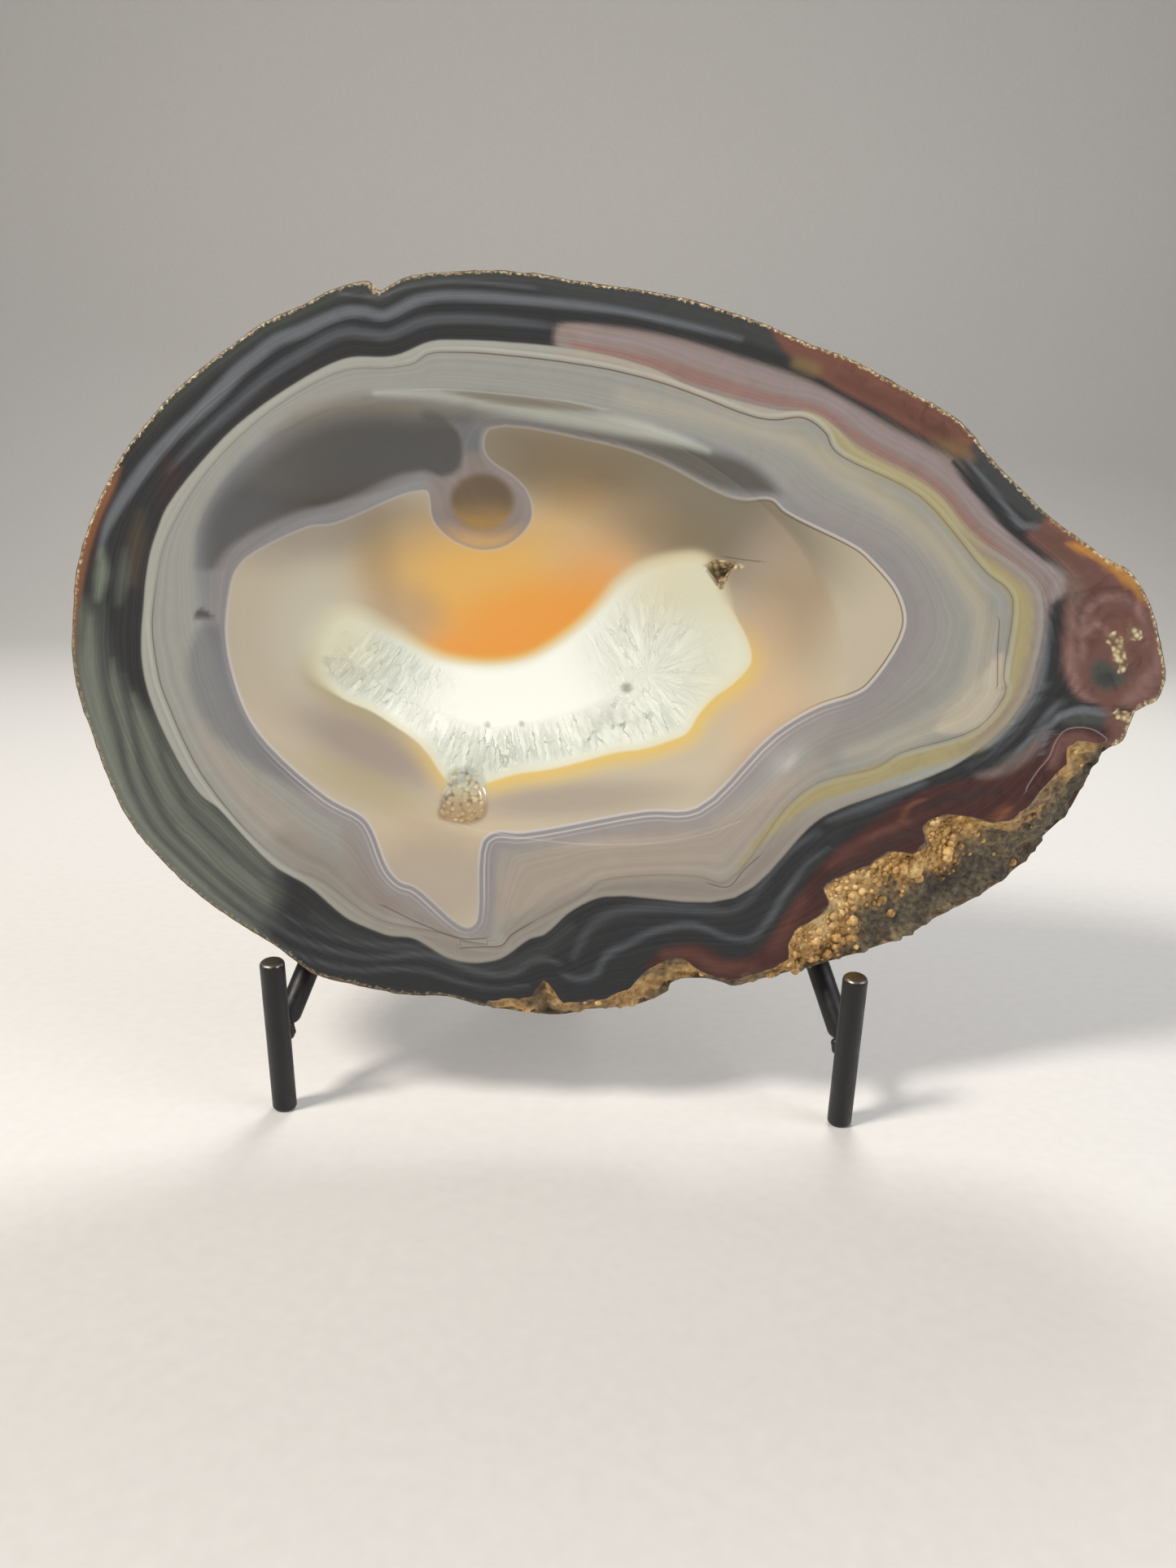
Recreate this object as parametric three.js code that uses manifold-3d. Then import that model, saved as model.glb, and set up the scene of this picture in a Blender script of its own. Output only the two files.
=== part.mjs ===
// A banded agate, cut flat, polished, hollowed into a shallow dish and shown upright on a small iron easel.
// Millimetres. +X is to the right, +Y is away from the viewer, +Z is up.
// The origin lies on the floor, under the middle of the whole.

import * as THREE from 'three';
import { mergeVertices } from 'three/addons/utils/BufferGeometryUtils.js';
import Module from 'manifold-3d';

const wasm = await Module();
wasm.setup();

// The whole
const overallDepth = 110;
const touchGap = 0.3;
const barAxis = new THREE.Vector3(0, 1, 0);

// The iron easel: round bar, two short posts in front, two long arms behind them, one rear leg
const barRadius = 2.5;
const barChamfer = 0.7;
const barSides = 20;
const easelOffset = -9;
const postSpacing = 117;
const postLength = 35.3;
const postLean = THREE.MathUtils.degToRad(8);
const armFootHeight = 18;
const armTopHeight = 122;
const armBackSlope = 0.65;
const armInwardSlope = 0.354;
const braceHeight = 74;
const braceOverhang = 5;
const topBarOverhang = 6;
const rearLegTopRise = 5;
const rearFootInset = 2.75;

// The stone: its flat face leans back and stands just behind the tips of the posts
const faceLean = THREE.MathUtils.degToRad(13.5);
const faceCentreHeight = 98.3;
const faceToTipGap = 0.5;
const centreThickness = 29.5;
const backFlattening = 0.25;
const shoulderDepth = 8.5;
const shoulderBehindRim = 4.2;
const bellyBehindRim = 2.2;
const bellyBulge = 0.6;
const shoulderBulge = 0.2;
const bevelWidth = 0.7;

// Columns of faces run from the middle of the back, round the edge, to the middle of the dish.
// They stand closer together towards the tip and the broken corner.
const columns = 120;
const columnCrowding = 0.34;
const crowdedDirection = -0.35;
const smoothingReach = 7;
const edgeSharpness = 5;
const backRings = [0.16, 0.32, 0.47, 0.61, 0.74, 0.86, 0.95];
const crustRings = [1, 0.66, 0.33];
const bowlRings = [0.95, 0.83, 0.66, 0.45, 0.22];

// The rolling skin that the stone grew with: crossed waves, each with a height, a length and a heading
const rindWaves = [
  { height: 0.8, length: 104, heading: 0.1, start: 24 },
  { height: 0.6, length: 49, heading: 0.55, start: 9 },
];
const shoulderWaveShare = 0.4;
const crustWaveShare = 0.9;
const crustWaveSpread = 40;
const crustWaveTurns = 3;

// The dish ground into the face: a tilted oval, with its middle left of the stone's middle
const bowlCentre = new THREE.Vector2(-19.9, 4.6);
const bowlHalfLength = 67.6;
const bowlHalfHeight = 44.7;
const bowlTilt = THREE.MathUtils.degToRad(-13.1);
const bowlDepth = 15;
const bowlPower = 2.3;

// The outline around the face's middle: x, how far behind the face the edge lies there, and height
const outline = [
  [111.6, 1, -5], [110.4, 1, 3], [108, 1, 11], [104, 1, 17], [98.6, 1, 20], [93, 1, 24], [88, 1, 27.5],
  [81, 1, 34], [76, 1, 39], [70, 1, 46], [65, 1, 49.5], [56.5, 1, 54], [47, 1, 59], [38.5, 1, 62],
  [29, 1, 66], [21.5, 1, 68.5], [12.5, 1, 71], [4, 1, 72.5], [-8, 1, 74], [-18, 1, 75.5], [-26, 1, 76],
  [-36, 1, 75.5], [-44.5, 1, 74.3], [-48.5, 1, 72.2], [-50.2, 1, 71.2], [-52, 1, 73.2], [-59.5, 1, 71.5],
  [-66, 1, 68], [-73.5, 1, 64.5], [-79, 1, 60.5], [-86, 1, 55], [-93, 1, 48.5], [-97.5, 1, 43],
  [-101.6, 1, 37.5], [-106, 1, 29], [-109, 1, 21], [-111, 1, 12.5], [-111.6, 1, 2.5], [-111.4, 1, -6],
  [-110, 1, -13], [-107, 1, -21], [-103, 1, -31], [-98, 1, -40], [-90, 1, -48.5], [-83, 1, -54.5],
  [-76, 1, -59], [-70, 1, -62.5], [-65, 1, -65.8], [-60.5, 1, -69], [-51.5, 1, -71.2], [-42, 2, -73],
  [-32.5, 2, -73.2], [-24, 3, -75.3], [-14, 4, -76.4], [-9, 4, -76.6], [-4.7, 4, -75.5], [8, 6, -74],
  [12.2, 6, -71.6], [14, 4, -68.8], [23, 3, -68.6], [25, 3, -69.6], [34, 4, -67.5], [43, 5, -65.2],
  [54, 7, -62], [62.5, 9, -59], [70.5, 10, -54.3], [78.5, 11, -50.2], [85, 11, -45.2], [88.3, 11, -42.2],
  [91, 11, -38.2], [95.5, 10, -33], [98.4, 8, -27], [99.6, 6, -22.5], [100.3, 3, -19.8], [103.5, 2, -17.4],
  [104.6, 2, -14.5], [106.2, 1, -11.2], [109.9, 1, -9.3],
];

// Where the polished face stops short of the outline: the broken corner, and the chips along the bottom
const brokenEdge = [
  [100, -20.5], [94.6, -17.3], [91.5, -19], [91.5, -22.5], [88, -26], [84, -31], [80.5, -34], [76.5, -34.5],
  [72.5, -33.4], [67.5, -33], [64.5, -33.8], [62.8, -36], [63.5, -38.5], [61.3, -41], [56, -40.7],
  [52.3, -43.7], [48.3, -45.5], [45, -46.7], [43, -48.8], [44.7, -52], [41.9, -54.7], [38, -56.8],
  [36.3, -60.3], [36.5, -63], [33.5, -65.1], [24.5, -67.8], [21.5, -67], [18.2, -65.8], [15.8, -63.9],
  [13.2, -63.2], [9.3, -65.3], [6.7, -67.5], [5.1, -69.6], [-1, -72.3], [-9.2, -73.2], [-10.8, -70.5],
  [-12.6, -68.5], [-14.2, -70], [-15.3, -72.2], [-24, -73.2],
];

// Small pits in the polished face: middle, half sizes and turn
const pits = [
  { x: 21, z: 14.6, halfWidth: 3.6, halfHeight: 2.4, depth: 3.2, turn: 0.35 },
  { x: -30.2, z: -32.4, halfWidth: 4.6, halfHeight: 3.8, depth: 2.6, turn: 0.1 },
];

// Round lumps of crust that line the broken corner
const lumpCount = 56;
const lumpArc = { from: -0.98, to: -0.28 };
const lumpRadius = { least: 1.9, most: 3.6, smallness: 1.5 };
const lumpPlace = { least: 0.08, most: 0.7, crowding: 1.4 };
const lumpSink = 0.35;
const roundLumpRadius = 2.6;
const crustFall = 0.8;
const lumpSeed = 11;

// Bar work

// A straight bar between two points. An end marked level is sheared so that it lies flat, as a foot does.
function bar(name, from, to, { levelFrom = false, levelTo = false } = {}) {
  const direction = new THREE.Vector3().subVectors(to, from);
  const length = direction.length();
  const profile = [
    new THREE.Vector2(0, 0),
    new THREE.Vector2(barRadius - barChamfer, 0),
    new THREE.Vector2(barRadius, barChamfer),
    new THREE.Vector2(barRadius, length - barChamfer),
    new THREE.Vector2(barRadius - barChamfer, length),
    new THREE.Vector2(0, length),
  ];
  const geometry = new THREE.LatheGeometry(profile, barSides);
  const mesh = new THREE.Mesh(geometry, iron);
  mesh.name = name;
  mesh.position.copy(from);
  mesh.quaternion.setFromUnitVectors(barAxis, direction.normalize());
  const up = new THREE.Vector3(0, 0, 1).applyQuaternion(mesh.quaternion.clone().invert());
  const position = geometry.attributes.position;
  for (let i = 0; i < position.count; i += 1) {
    const nearFrom = position.getY(i) < length / 2;
    if (nearFrom ? levelFrom : levelTo) {
      const climb = position.getX(i) * up.x + position.getZ(i) * up.z;
      position.setY(i, position.getY(i) - climb / up.y);
    }
  }
  return mesh;
}

// Stone work

function random(seed) {
  const multiplier = 1664525;
  const increment = 1013904223;
  const modulus = 2 ** 32;
  let state = seed;
  return () => {
    state = (state * multiplier + increment) % modulus;
    return state / modulus;
  };
}

// The distance from the dish's middle to a line of points, in one direction, and how far along its stretch
function reach(points, angle, closed) {
  const ray = new THREE.Vector2(Math.cos(angle), Math.sin(angle));
  const stretches = closed ? points.length : points.length - 1;
  let best = { distance: Infinity, depth: 0 };
  for (let i = 0; i < stretches; i += 1) {
    const a = points[i];
    const b = points[(i + 1) % points.length];
    const ax = a.x - bowlCentre.x;
    const az = a.z - bowlCentre.y;
    const ex = b.x - a.x;
    const ez = b.z - a.z;
    const cross = ray.x * ez - ray.y * ex;
    const distance = (ax * ez - az * ex) / cross;
    const along = (ax * ray.y - az * ray.x) / cross;
    if (distance > 0 && along >= 0 && along <= 1 && distance < best.distance) {
      best = { distance, depth: a.y + (b.y - a.y) * along };
    }
  }
  return best;
}

// How far a point of the face lies from the dish's middle, counted so that the dish's rim is at 1
function bowlFraction(x, z) {
  const dx = x - bowlCentre.x;
  const dz = z - bowlCentre.y;
  const along = dx * Math.cos(bowlTilt) + dz * Math.sin(bowlTilt);
  const across = dz * Math.cos(bowlTilt) - dx * Math.sin(bowlTilt);
  return Math.hypot(along / bowlHalfLength, across / bowlHalfHeight);
}

function bowlRadius(angle) {
  const x = bowlCentre.x + Math.cos(angle);
  const z = bowlCentre.y + Math.sin(angle);
  return 1 / bowlFraction(x, z);
}

function bowlFloor(x, z) {
  return bowlDepth * (1 - Math.min(1, bowlFraction(x, z)) ** bowlPower);
}

function rindWave(x, z) {
  let sum = 0;
  for (const { height, length, heading, start } of rindWaves) {
    const along = x * Math.cos(heading) + z * Math.sin(heading) + start;
    const across = z * Math.cos(heading) - x * Math.sin(heading);
    const turns = (2 * Math.PI) / length;
    sum += height * Math.sin(along * turns) * Math.cos(across * turns);
  }
  return sum;
}

function columnAngle(index) {
  const even = Math.PI - (2 * Math.PI * (index % columns)) / columns;
  return even - columnCrowding * Math.sin(even - crowdedDirection);
}

// What one column needs: where the rim is, and how the outline runs once its small notches are smoothed
function columnEdges(rimCurve, brokenCurve) {
  const edges = [];
  for (let i = 0; i < columns; i += 1) {
    const angle = columnAngle(i);
    const rim = reach(rimCurve, angle, true);
    const faceEdge = Math.min(rim.distance - bevelWidth, reach(brokenCurve, angle, false).distance);
    edges.push({ angle, rim, faceEdge, shoulder: Math.max(shoulderDepth, rim.depth + shoulderBehindRim) });
  }
  return edges.map((edge, i) => {
    let distance = 0;
    let depth = 0;
    for (let k = -smoothingReach; k <= smoothingReach; k += 1) {
      const neighbour = edges[(i + k + columns) % columns];
      distance += neighbour.rim.distance / (2 * smoothingReach + 1);
      depth += neighbour.shoulder / (2 * smoothingReach + 1);
    }
    return { ...edge, smoothDistance: distance, smoothDepth: depth };
  });
}

// One column of the stone, from the middle of its back round the edge to the middle of the dish
function column({ angle, rim, faceEdge, shoulder, smoothDistance, smoothDepth }) {
  const bowl = bowlRadius(angle);
  const ring = [];
  const add = (radius, depthAt) => {
    const x = bowlCentre.x + radius * Math.cos(angle);
    const z = bowlCentre.y + radius * Math.sin(angle);
    ring.push(new THREE.Vector3(x, depthAt(x, z), z));
  };
  for (const share of backRings) {
    const edgeShare = share ** edgeSharpness;
    const radius = share * THREE.MathUtils.lerp(smoothDistance, rim.distance, edgeShare);
    const outer = THREE.MathUtils.lerp(smoothDepth, shoulder, edgeShare);
    const swell = (1 - share ** 2) * (1 - backFlattening * share ** 2);
    add(radius, (x, z) => outer + (centreThickness - outer) * swell + rindWave(x, z));
  }
  add(rim.distance + shoulderBulge, (x, z) => shoulder + shoulderWaveShare * rindWave(x, z));
  add(rim.distance + bellyBulge, () => rim.depth + bellyBehindRim);
  for (const share of crustRings) {
    const wave = rindWave(crustWaveTurns * angle * rim.distance, crustWaveSpread * share);
    const roughness = rim.depth > bellyBehindRim ? crustWaveShare * share : 0;
    const depth = rim.depth * share ** crustFall + roughness * wave;
    add(THREE.MathUtils.lerp(faceEdge, rim.distance, share), () => depth);
  }
  add(faceEdge, () => 0);
  add((bowl + faceEdge) / 2, () => 0);
  add(bowl, () => 0);
  for (const share of bowlRings) {
    add(bowl * share, bowlFloor);
  }
  return ring;
}

function curveOf(points, closed, count) {
  const vectors = points.map(([x, y, z]) => new THREE.Vector3(x, y, z));
  const curve = new THREE.CatmullRomCurve3(vectors, closed, 'centripetal');
  return curve.getPoints(count);
}

// A ball whose rings are moved onto the stone's columns keeps its faces closed and pointing out
function stoneBody() {
  const rimCurve = curveOf(outline, true, outline.length * 4);
  const brokenCurve = brokenEdge.map(([x, z]) => new THREE.Vector3(x, 0, z));
  const edges = columnEdges(rimCurve, brokenCurve);
  const ringCount = column(edges[0]).length;
  const geometry = new THREE.SphereGeometry(1, columns, ringCount + 1);
  const position = geometry.attributes.position;
  const rowLength = columns + 1;
  for (let i = 0; i <= columns; i += 1) {
    const ring = column(edges[i % columns]);
    position.setXYZ(i, bowlCentre.x, centreThickness, bowlCentre.y);
    ring.forEach((point, row) => {
      position.setXYZ((row + 1) * rowLength + i, point.x, point.y, point.z);
    });
    position.setXYZ((ringCount + 1) * rowLength + i, bowlCentre.x, bowlDepth, bowlCentre.y);
  }
  return { geometry, rimCurve, brokenCurve };
}

function toSolid(geometry) {
  const bare = geometry.clone();
  bare.deleteAttribute('normal');
  bare.deleteAttribute('uv');
  const merged = mergeVertices(bare, 1e-4);
  return new wasm.Manifold(new wasm.Mesh({
    numProp: 3,
    vertProperties: Float32Array.from(merged.attributes.position.array),
    triVerts: Uint32Array.from(merged.index.array),
  }));
}

function toGeometry(solid) {
  const mesh = solid.getMesh();
  const geometry = new THREE.BufferGeometry();
  geometry.setAttribute('position', new THREE.BufferAttribute(Float32Array.from(mesh.vertProperties), 3));
  geometry.setIndex(new THREE.BufferAttribute(Uint32Array.from(mesh.triVerts), 1));
  geometry.computeVertexNormals();
  return geometry;
}

// Lumps sit thickest beside the polished face and thin out towards the outer edge
function crustLumps({ rimCurve, brokenCurve }) {
  const draw = random(lumpSeed);
  const lumps = [];
  for (let i = 0; i < lumpCount; i += 1) {
    const turn = THREE.MathUtils.lerp(lumpArc.from, lumpArc.to, (i + draw()) / lumpCount);
    const rim = reach(rimCurve, turn, true);
    const edge = Math.min(rim.distance - bevelWidth, reach(brokenCurve, turn, false).distance);
    const share = THREE.MathUtils.lerp(lumpPlace.least, lumpPlace.most, draw() ** lumpPlace.crowding);
    const radius = THREE.MathUtils.lerp(lumpRadius.least, lumpRadius.most, draw() ** lumpRadius.smallness);
    const distance = THREE.MathUtils.lerp(edge, rim.distance, share);
    const crustDepth = rim.depth * share ** crustFall;
    const lump = new THREE.IcosahedronGeometry(radius, radius > roundLumpRadius ? 1 : 0);
    lump.rotateX(draw() * Math.PI);
    lump.rotateZ(draw() * Math.PI);
    lump.translate(
      bowlCentre.x + distance * Math.cos(turn),
      Math.max(radius + touchGap, crustDepth + lumpSink * radius),
      bowlCentre.y + distance * Math.sin(turn),
    );
    lumps.push(toSolid(lump));
  }
  return lumps;
}

function pitTool({ x, z, halfWidth, halfHeight, depth, turn }) {
  const tool = new THREE.IcosahedronGeometry(1, 1);
  tool.scale(halfWidth, depth, halfHeight);
  tool.rotateY(turn);
  tool.translate(x, bowlFloor(x, z), z);
  return toSolid(tool);
}

// Materials

const agate = new THREE.MeshStandardMaterial({ color: '#9b948a', roughness: 0.12, metalness: 0 });
const iron = new THREE.MeshStandardMaterial({ color: '#1d1d1f', roughness: 0.45, metalness: 0.2 });

// The easel

const postTipForward = postLength * Math.sin(postLean) + barRadius * Math.cos(postLean);
const postTipHeight = postLength * Math.cos(postLean);
const frontFootY = -overallDepth / 2 + postTipForward;
const armBehindPost = barRadius / Math.cos(postLean) + barRadius * Math.hypot(1, armBackSlope) + touchGap;
const armFootY = frontFootY - armFootHeight * Math.tan(postLean) + armBehindPost;

// A point on the middle line of the left (-1) or right (1) back arm
function armPoint(side, height) {
  const rise = height - armFootHeight;
  const sideways = postSpacing / 2 - armInwardSlope * rise;
  return new THREE.Vector3(easelOffset + side * sideways, armFootY + armBackSlope * rise, height);
}

function frontPost(side, word) {
  const x = easelOffset + (side * postSpacing) / 2;
  const foot = new THREE.Vector3(x, frontFootY, 0);
  const tip = new THREE.Vector3(x, frontFootY - postLength * Math.sin(postLean), postTipHeight);
  return bar(`front_post_${word}`, foot, tip, { levelFrom: true });
}

function backArm(side, word) {
  const foot = armPoint(side, armFootHeight);
  const top = armPoint(side, armTopHeight);
  return bar(`back_arm_${word}`, foot, top, { levelFrom: true, levelTo: true });
}

function crossbar(name, reachEachWay, y, height) {
  const left = new THREE.Vector3(easelOffset - reachEachWay, y, height);
  const right = new THREE.Vector3(easelOffset + reachEachWay, y, height);
  return bar(name, left, right);
}

function easelBars() {
  const easel = new THREE.Group();
  easel.add(frontPost(-1, 'left'), frontPost(1, 'right'));
  easel.add(backArm(-1, 'left'), backArm(1, 'right'));
  const armTop = armPoint(1, armTopHeight);
  const topBarHeight = armTopHeight + barRadius + touchGap;
  const topBarReach = armTop.x - easelOffset + topBarOverhang;
  easel.add(crossbar('top_crossbar', topBarReach, armTop.y, topBarHeight));
  const brace = armPoint(1, braceHeight);
  const braceBehindArm = 2 * barRadius * Math.hypot(1, armBackSlope) + touchGap;
  const braceReach = brace.x - easelOffset + braceOverhang;
  easel.add(crossbar('middle_crossbar', braceReach, brace.y + braceBehindArm, braceHeight));
  const legFoot = new THREE.Vector3(easelOffset, overallDepth / 2 - rearFootInset, 0);
  const legTopY = armTop.y + 2 * barRadius + touchGap;
  const legTop = new THREE.Vector3(easelOffset, legTopY, topBarHeight + rearLegTopRise);
  easel.add(bar('rear_leg', legFoot, legTop, { levelFrom: true }));
  return easel;
}

// The stone on its easel

function polishedStone() {
  const body = stoneBody();
  const lumped = crustLumps(body).reduce((solid, lump) => solid.add(lump), toSolid(body.geometry));
  const pitted = pits.map(pitTool).reduce((solid, tool) => solid.subtract(tool), lumped);
  const stone = new THREE.Mesh(toGeometry(pitted), agate);
  const tipBackY = frontFootY - postLength * Math.sin(postLean) + barRadius * Math.cos(postLean);
  const leanBack = (faceCentreHeight - postTipHeight) * Math.tan(faceLean);
  stone.name = 'agate';
  stone.position.set(0, tipBackY + faceToTipGap + leanBack, faceCentreHeight);
  stone.rotation.x = -faceLean;
  return stone;
}

const whole = new THREE.Group();
whole.add(polishedStone(), easelBars());

export default whole;
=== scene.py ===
# %% [markdown]
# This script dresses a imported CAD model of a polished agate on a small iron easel. The real thing is a
# slice of an agate nodule, about 22 cm long. Its front was sawn flat, a shallow oval dish was ground into
# it, and both were polished until the bands inside show as if under water. The edge and the back kept the
# rough skin that the stone grew with, and one corner is broken and lined with lumps of golden crust. The
# stone is built as one fine mesh around the dish's middle, because every ring of it follows the same
# outline. All lengths are in millimetres in this file, and each mesh is turned to metres as it is made.

# %% Load the frame
import math
import bpy
import numpy as np
from mathutils import Matrix, Vector, noise


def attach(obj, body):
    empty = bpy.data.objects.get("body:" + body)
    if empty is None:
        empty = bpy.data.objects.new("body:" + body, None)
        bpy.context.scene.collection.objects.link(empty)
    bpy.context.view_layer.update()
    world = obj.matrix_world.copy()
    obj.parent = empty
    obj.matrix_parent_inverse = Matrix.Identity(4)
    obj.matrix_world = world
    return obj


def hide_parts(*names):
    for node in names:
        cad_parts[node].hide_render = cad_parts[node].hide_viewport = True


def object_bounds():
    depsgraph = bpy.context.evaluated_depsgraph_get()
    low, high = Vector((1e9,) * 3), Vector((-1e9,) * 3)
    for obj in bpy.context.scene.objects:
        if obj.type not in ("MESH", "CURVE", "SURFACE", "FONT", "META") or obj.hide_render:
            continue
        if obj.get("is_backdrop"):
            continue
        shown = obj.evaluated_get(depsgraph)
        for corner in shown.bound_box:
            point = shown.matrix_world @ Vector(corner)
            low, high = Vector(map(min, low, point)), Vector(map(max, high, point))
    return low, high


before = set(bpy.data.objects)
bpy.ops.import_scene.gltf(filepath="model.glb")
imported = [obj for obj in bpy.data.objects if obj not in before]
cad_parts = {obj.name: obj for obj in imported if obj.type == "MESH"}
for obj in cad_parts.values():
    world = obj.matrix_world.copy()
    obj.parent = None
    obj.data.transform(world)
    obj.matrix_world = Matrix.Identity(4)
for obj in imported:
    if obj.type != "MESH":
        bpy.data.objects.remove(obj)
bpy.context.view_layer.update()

MM = 0.001

# %% [markdown]
# The camera comes first, so that every later step can be judged in the same picture. It stands a little
# above the stone's middle, 27 cm in front of the object, and looks down by 13 degrees. Blender counts a
# lens in millimetres against a 36 mm frame, so the view angle is worked out from the picture's own height
# in pixels.

# %% Camera
picture_height = 1927
focal_pixels = 1447
sensor_side = 36.0
camera_place = Vector((-1.5, -273.5, 125.1))
look_azimuth = math.radians(0.83)
look_down = math.radians(13.25)
look_roll = math.radians(-1.19)


def camera_turn(azimuth, down, roll):
    back = Vector((math.sin(azimuth) * math.cos(down), -math.cos(azimuth) * math.cos(down), math.sin(down)))
    level = (-back).cross(Vector((0, 0, 1))).normalized()
    upright = level.cross(-back)
    right = level * math.cos(roll) - upright * math.sin(roll)
    up = level * math.sin(roll) + upright * math.cos(roll)
    return Matrix((right, up, back)).transposed().to_4x4()


scene = bpy.context.scene
camera = bpy.data.objects.new("camera", bpy.data.cameras.new("camera"))
camera.data.sensor_width = sensor_side
camera.data.lens = focal_pixels * sensor_side / picture_height
camera.matrix_world = Matrix.Translation(camera_place * MM) @ camera_turn(look_azimuth, look_down, look_roll)
scene.collection.objects.link(camera)
scene.camera = camera
print("lens", round(camera.data.lens, 2), "mm")

# %% [markdown]
# Materials need a few small tools. The first turns a hex colour as a screen shows it into the linear
# numbers that a shader adds and multiplies. The second adds a node, sets it and links it in one line, which
# keeps a long tree readable. The sizes of patterns are given in millimetres, and shaders count in metres.

# %% Tools for materials


def linear(hex_colour):
    screen = np.array([int(hex_colour[i : i + 2], 16) for i in (1, 3, 5)]) / 255
    return np.where(screen <= 0.04045, screen / 12.92, ((screen + 0.055) / 1.055) ** 2.4)


def add(tree, kind, inputs=None, **settings):
    """Adds a node and sets it. A node given for a socket stands for its first output that is in use."""
    made = tree.nodes.new(kind)
    for name, value in settings.items():
        setattr(made, name, value)
    for key, value in (inputs or {}).items():
        in_use = [socket for socket in made.inputs if socket.enabled]
        socket = next(s for s in in_use if s.name == key) if isinstance(key, str) else made.inputs[key]
        if isinstance(value, bpy.types.Node):
            value = next(output for output in value.outputs if output.enabled)
        if isinstance(value, bpy.types.NodeSocket):
            tree.links.new(value, socket)
        else:
            socket.default_value = value
    return made


def rgba(name_or_hex):
    return (*linear(palette.get(name_or_hex, name_or_hex)), 1.0)


def new_material(name):
    material = bpy.data.materials.new(name)
    material.use_nodes = True
    tree = material.node_tree
    tree.nodes.clear()
    return material, tree


def per_metre(size_mm):
    return 1 / (size_mm * MM)


def set_stops(ramp_node, stops):
    """Gives a colour ramp its stops. A stop is its place from 0 to 1 and its colour."""
    ramp = ramp_node.color_ramp
    while len(ramp.elements) > 1:
        ramp.elements.remove(ramp.elements[-1])
    ramp.elements[0].position = stops[0][0]
    ramp.elements[0].color = rgba(stops[0][1])
    for place, colour in stops[1:]:
        ramp.elements.new(place).color = rgba(colour)


# %% [markdown]
# Agate is quartz grown in layers finer than a hair, and each mineral that was in the water gave its layers
# a colour. The palette names those colours once: iron gives rose, brick, wine and amber, and the clear
# layers look grey because they show the dark behind them. In the core and its crystals amber, orange,
# lemon, ivory and snow are partly painted glow of light shining through the stone from behind.

# %% Palette
palette = {
    "soot": "#343434",
    "charcoal": "#454646",
    "moss": "#4a4e48",
    "lead": "#54575a",
    "slate": "#686c70",
    "sage": "#6b6f66",
    "fern": "#5a5e56",
    "reed": "#7b8576",
    "pearl": "#93938c",
    "cloud": "#9b9b92",
    "mist": "#868889",
    "lavender": "#8f8987",
    "lilac": "#8f8384",
    "taupe": "#8b837a",
    "beige": "#a3978a",
    "cream": "#bcb19b",
    "straw": "#a2976e",
    "tan": "#a78d68",
    "mauve": "#8b7e78",
    "rose": "#8d6f68",
    "clay": "#6d4f48",
    "brick": "#6f4c41",
    "wine": "#4a302c",
    "rust": "#85593e",
    "gold": "#b07c40",
    "amber": "#dcae60",
    "orange": "#e29a48",
    "lemon": "#dcbc62",
    "peach": "#cdb08a",
    "olive": "#7e7560",
    "bronze": "#7a6748",
    "umber": "#5a4838",
    "dusk": "#5a564f",
    "smoke": "#4a4a49",
    "frost": "#cbd0bf",
    "ivory": "#d3c9a2",
    "snow": "#f2f5ea",
    "white": "#c9c4c3",
}
print(len(palette), "colours")

# %% [markdown]
# The stone's sizes are those of the CAD model, so the dressed stone fills the same space. A point of the
# stone is given by how far it lies right of the face's middle, how deep behind the face, and how far above
# the middle. The whole stone leans back and stands behind the tips of the easel's posts.

# %% Sizes of the stone
face_lean = math.radians(13.5)
face_place = Vector((0, -34.34, 98.3))
centre_thickness = 29.5
back_flattening = 0.25
shoulder_depth = 8.5
shoulder_behind_rim = 4.2
belly_behind_rim = 2.2
belly_bulge = 0.5
shoulder_bulge = 0.2
bevel_width = 0.7
dish_centre = np.array([-19.9, 4.6])
dish_half_length = 67.6
dish_half_height = 44.7
dish_turn = math.radians(-13.1)
dish_depth = 15.0
dish_power = 2.3
dish_edge_rounding = 0.35
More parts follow.
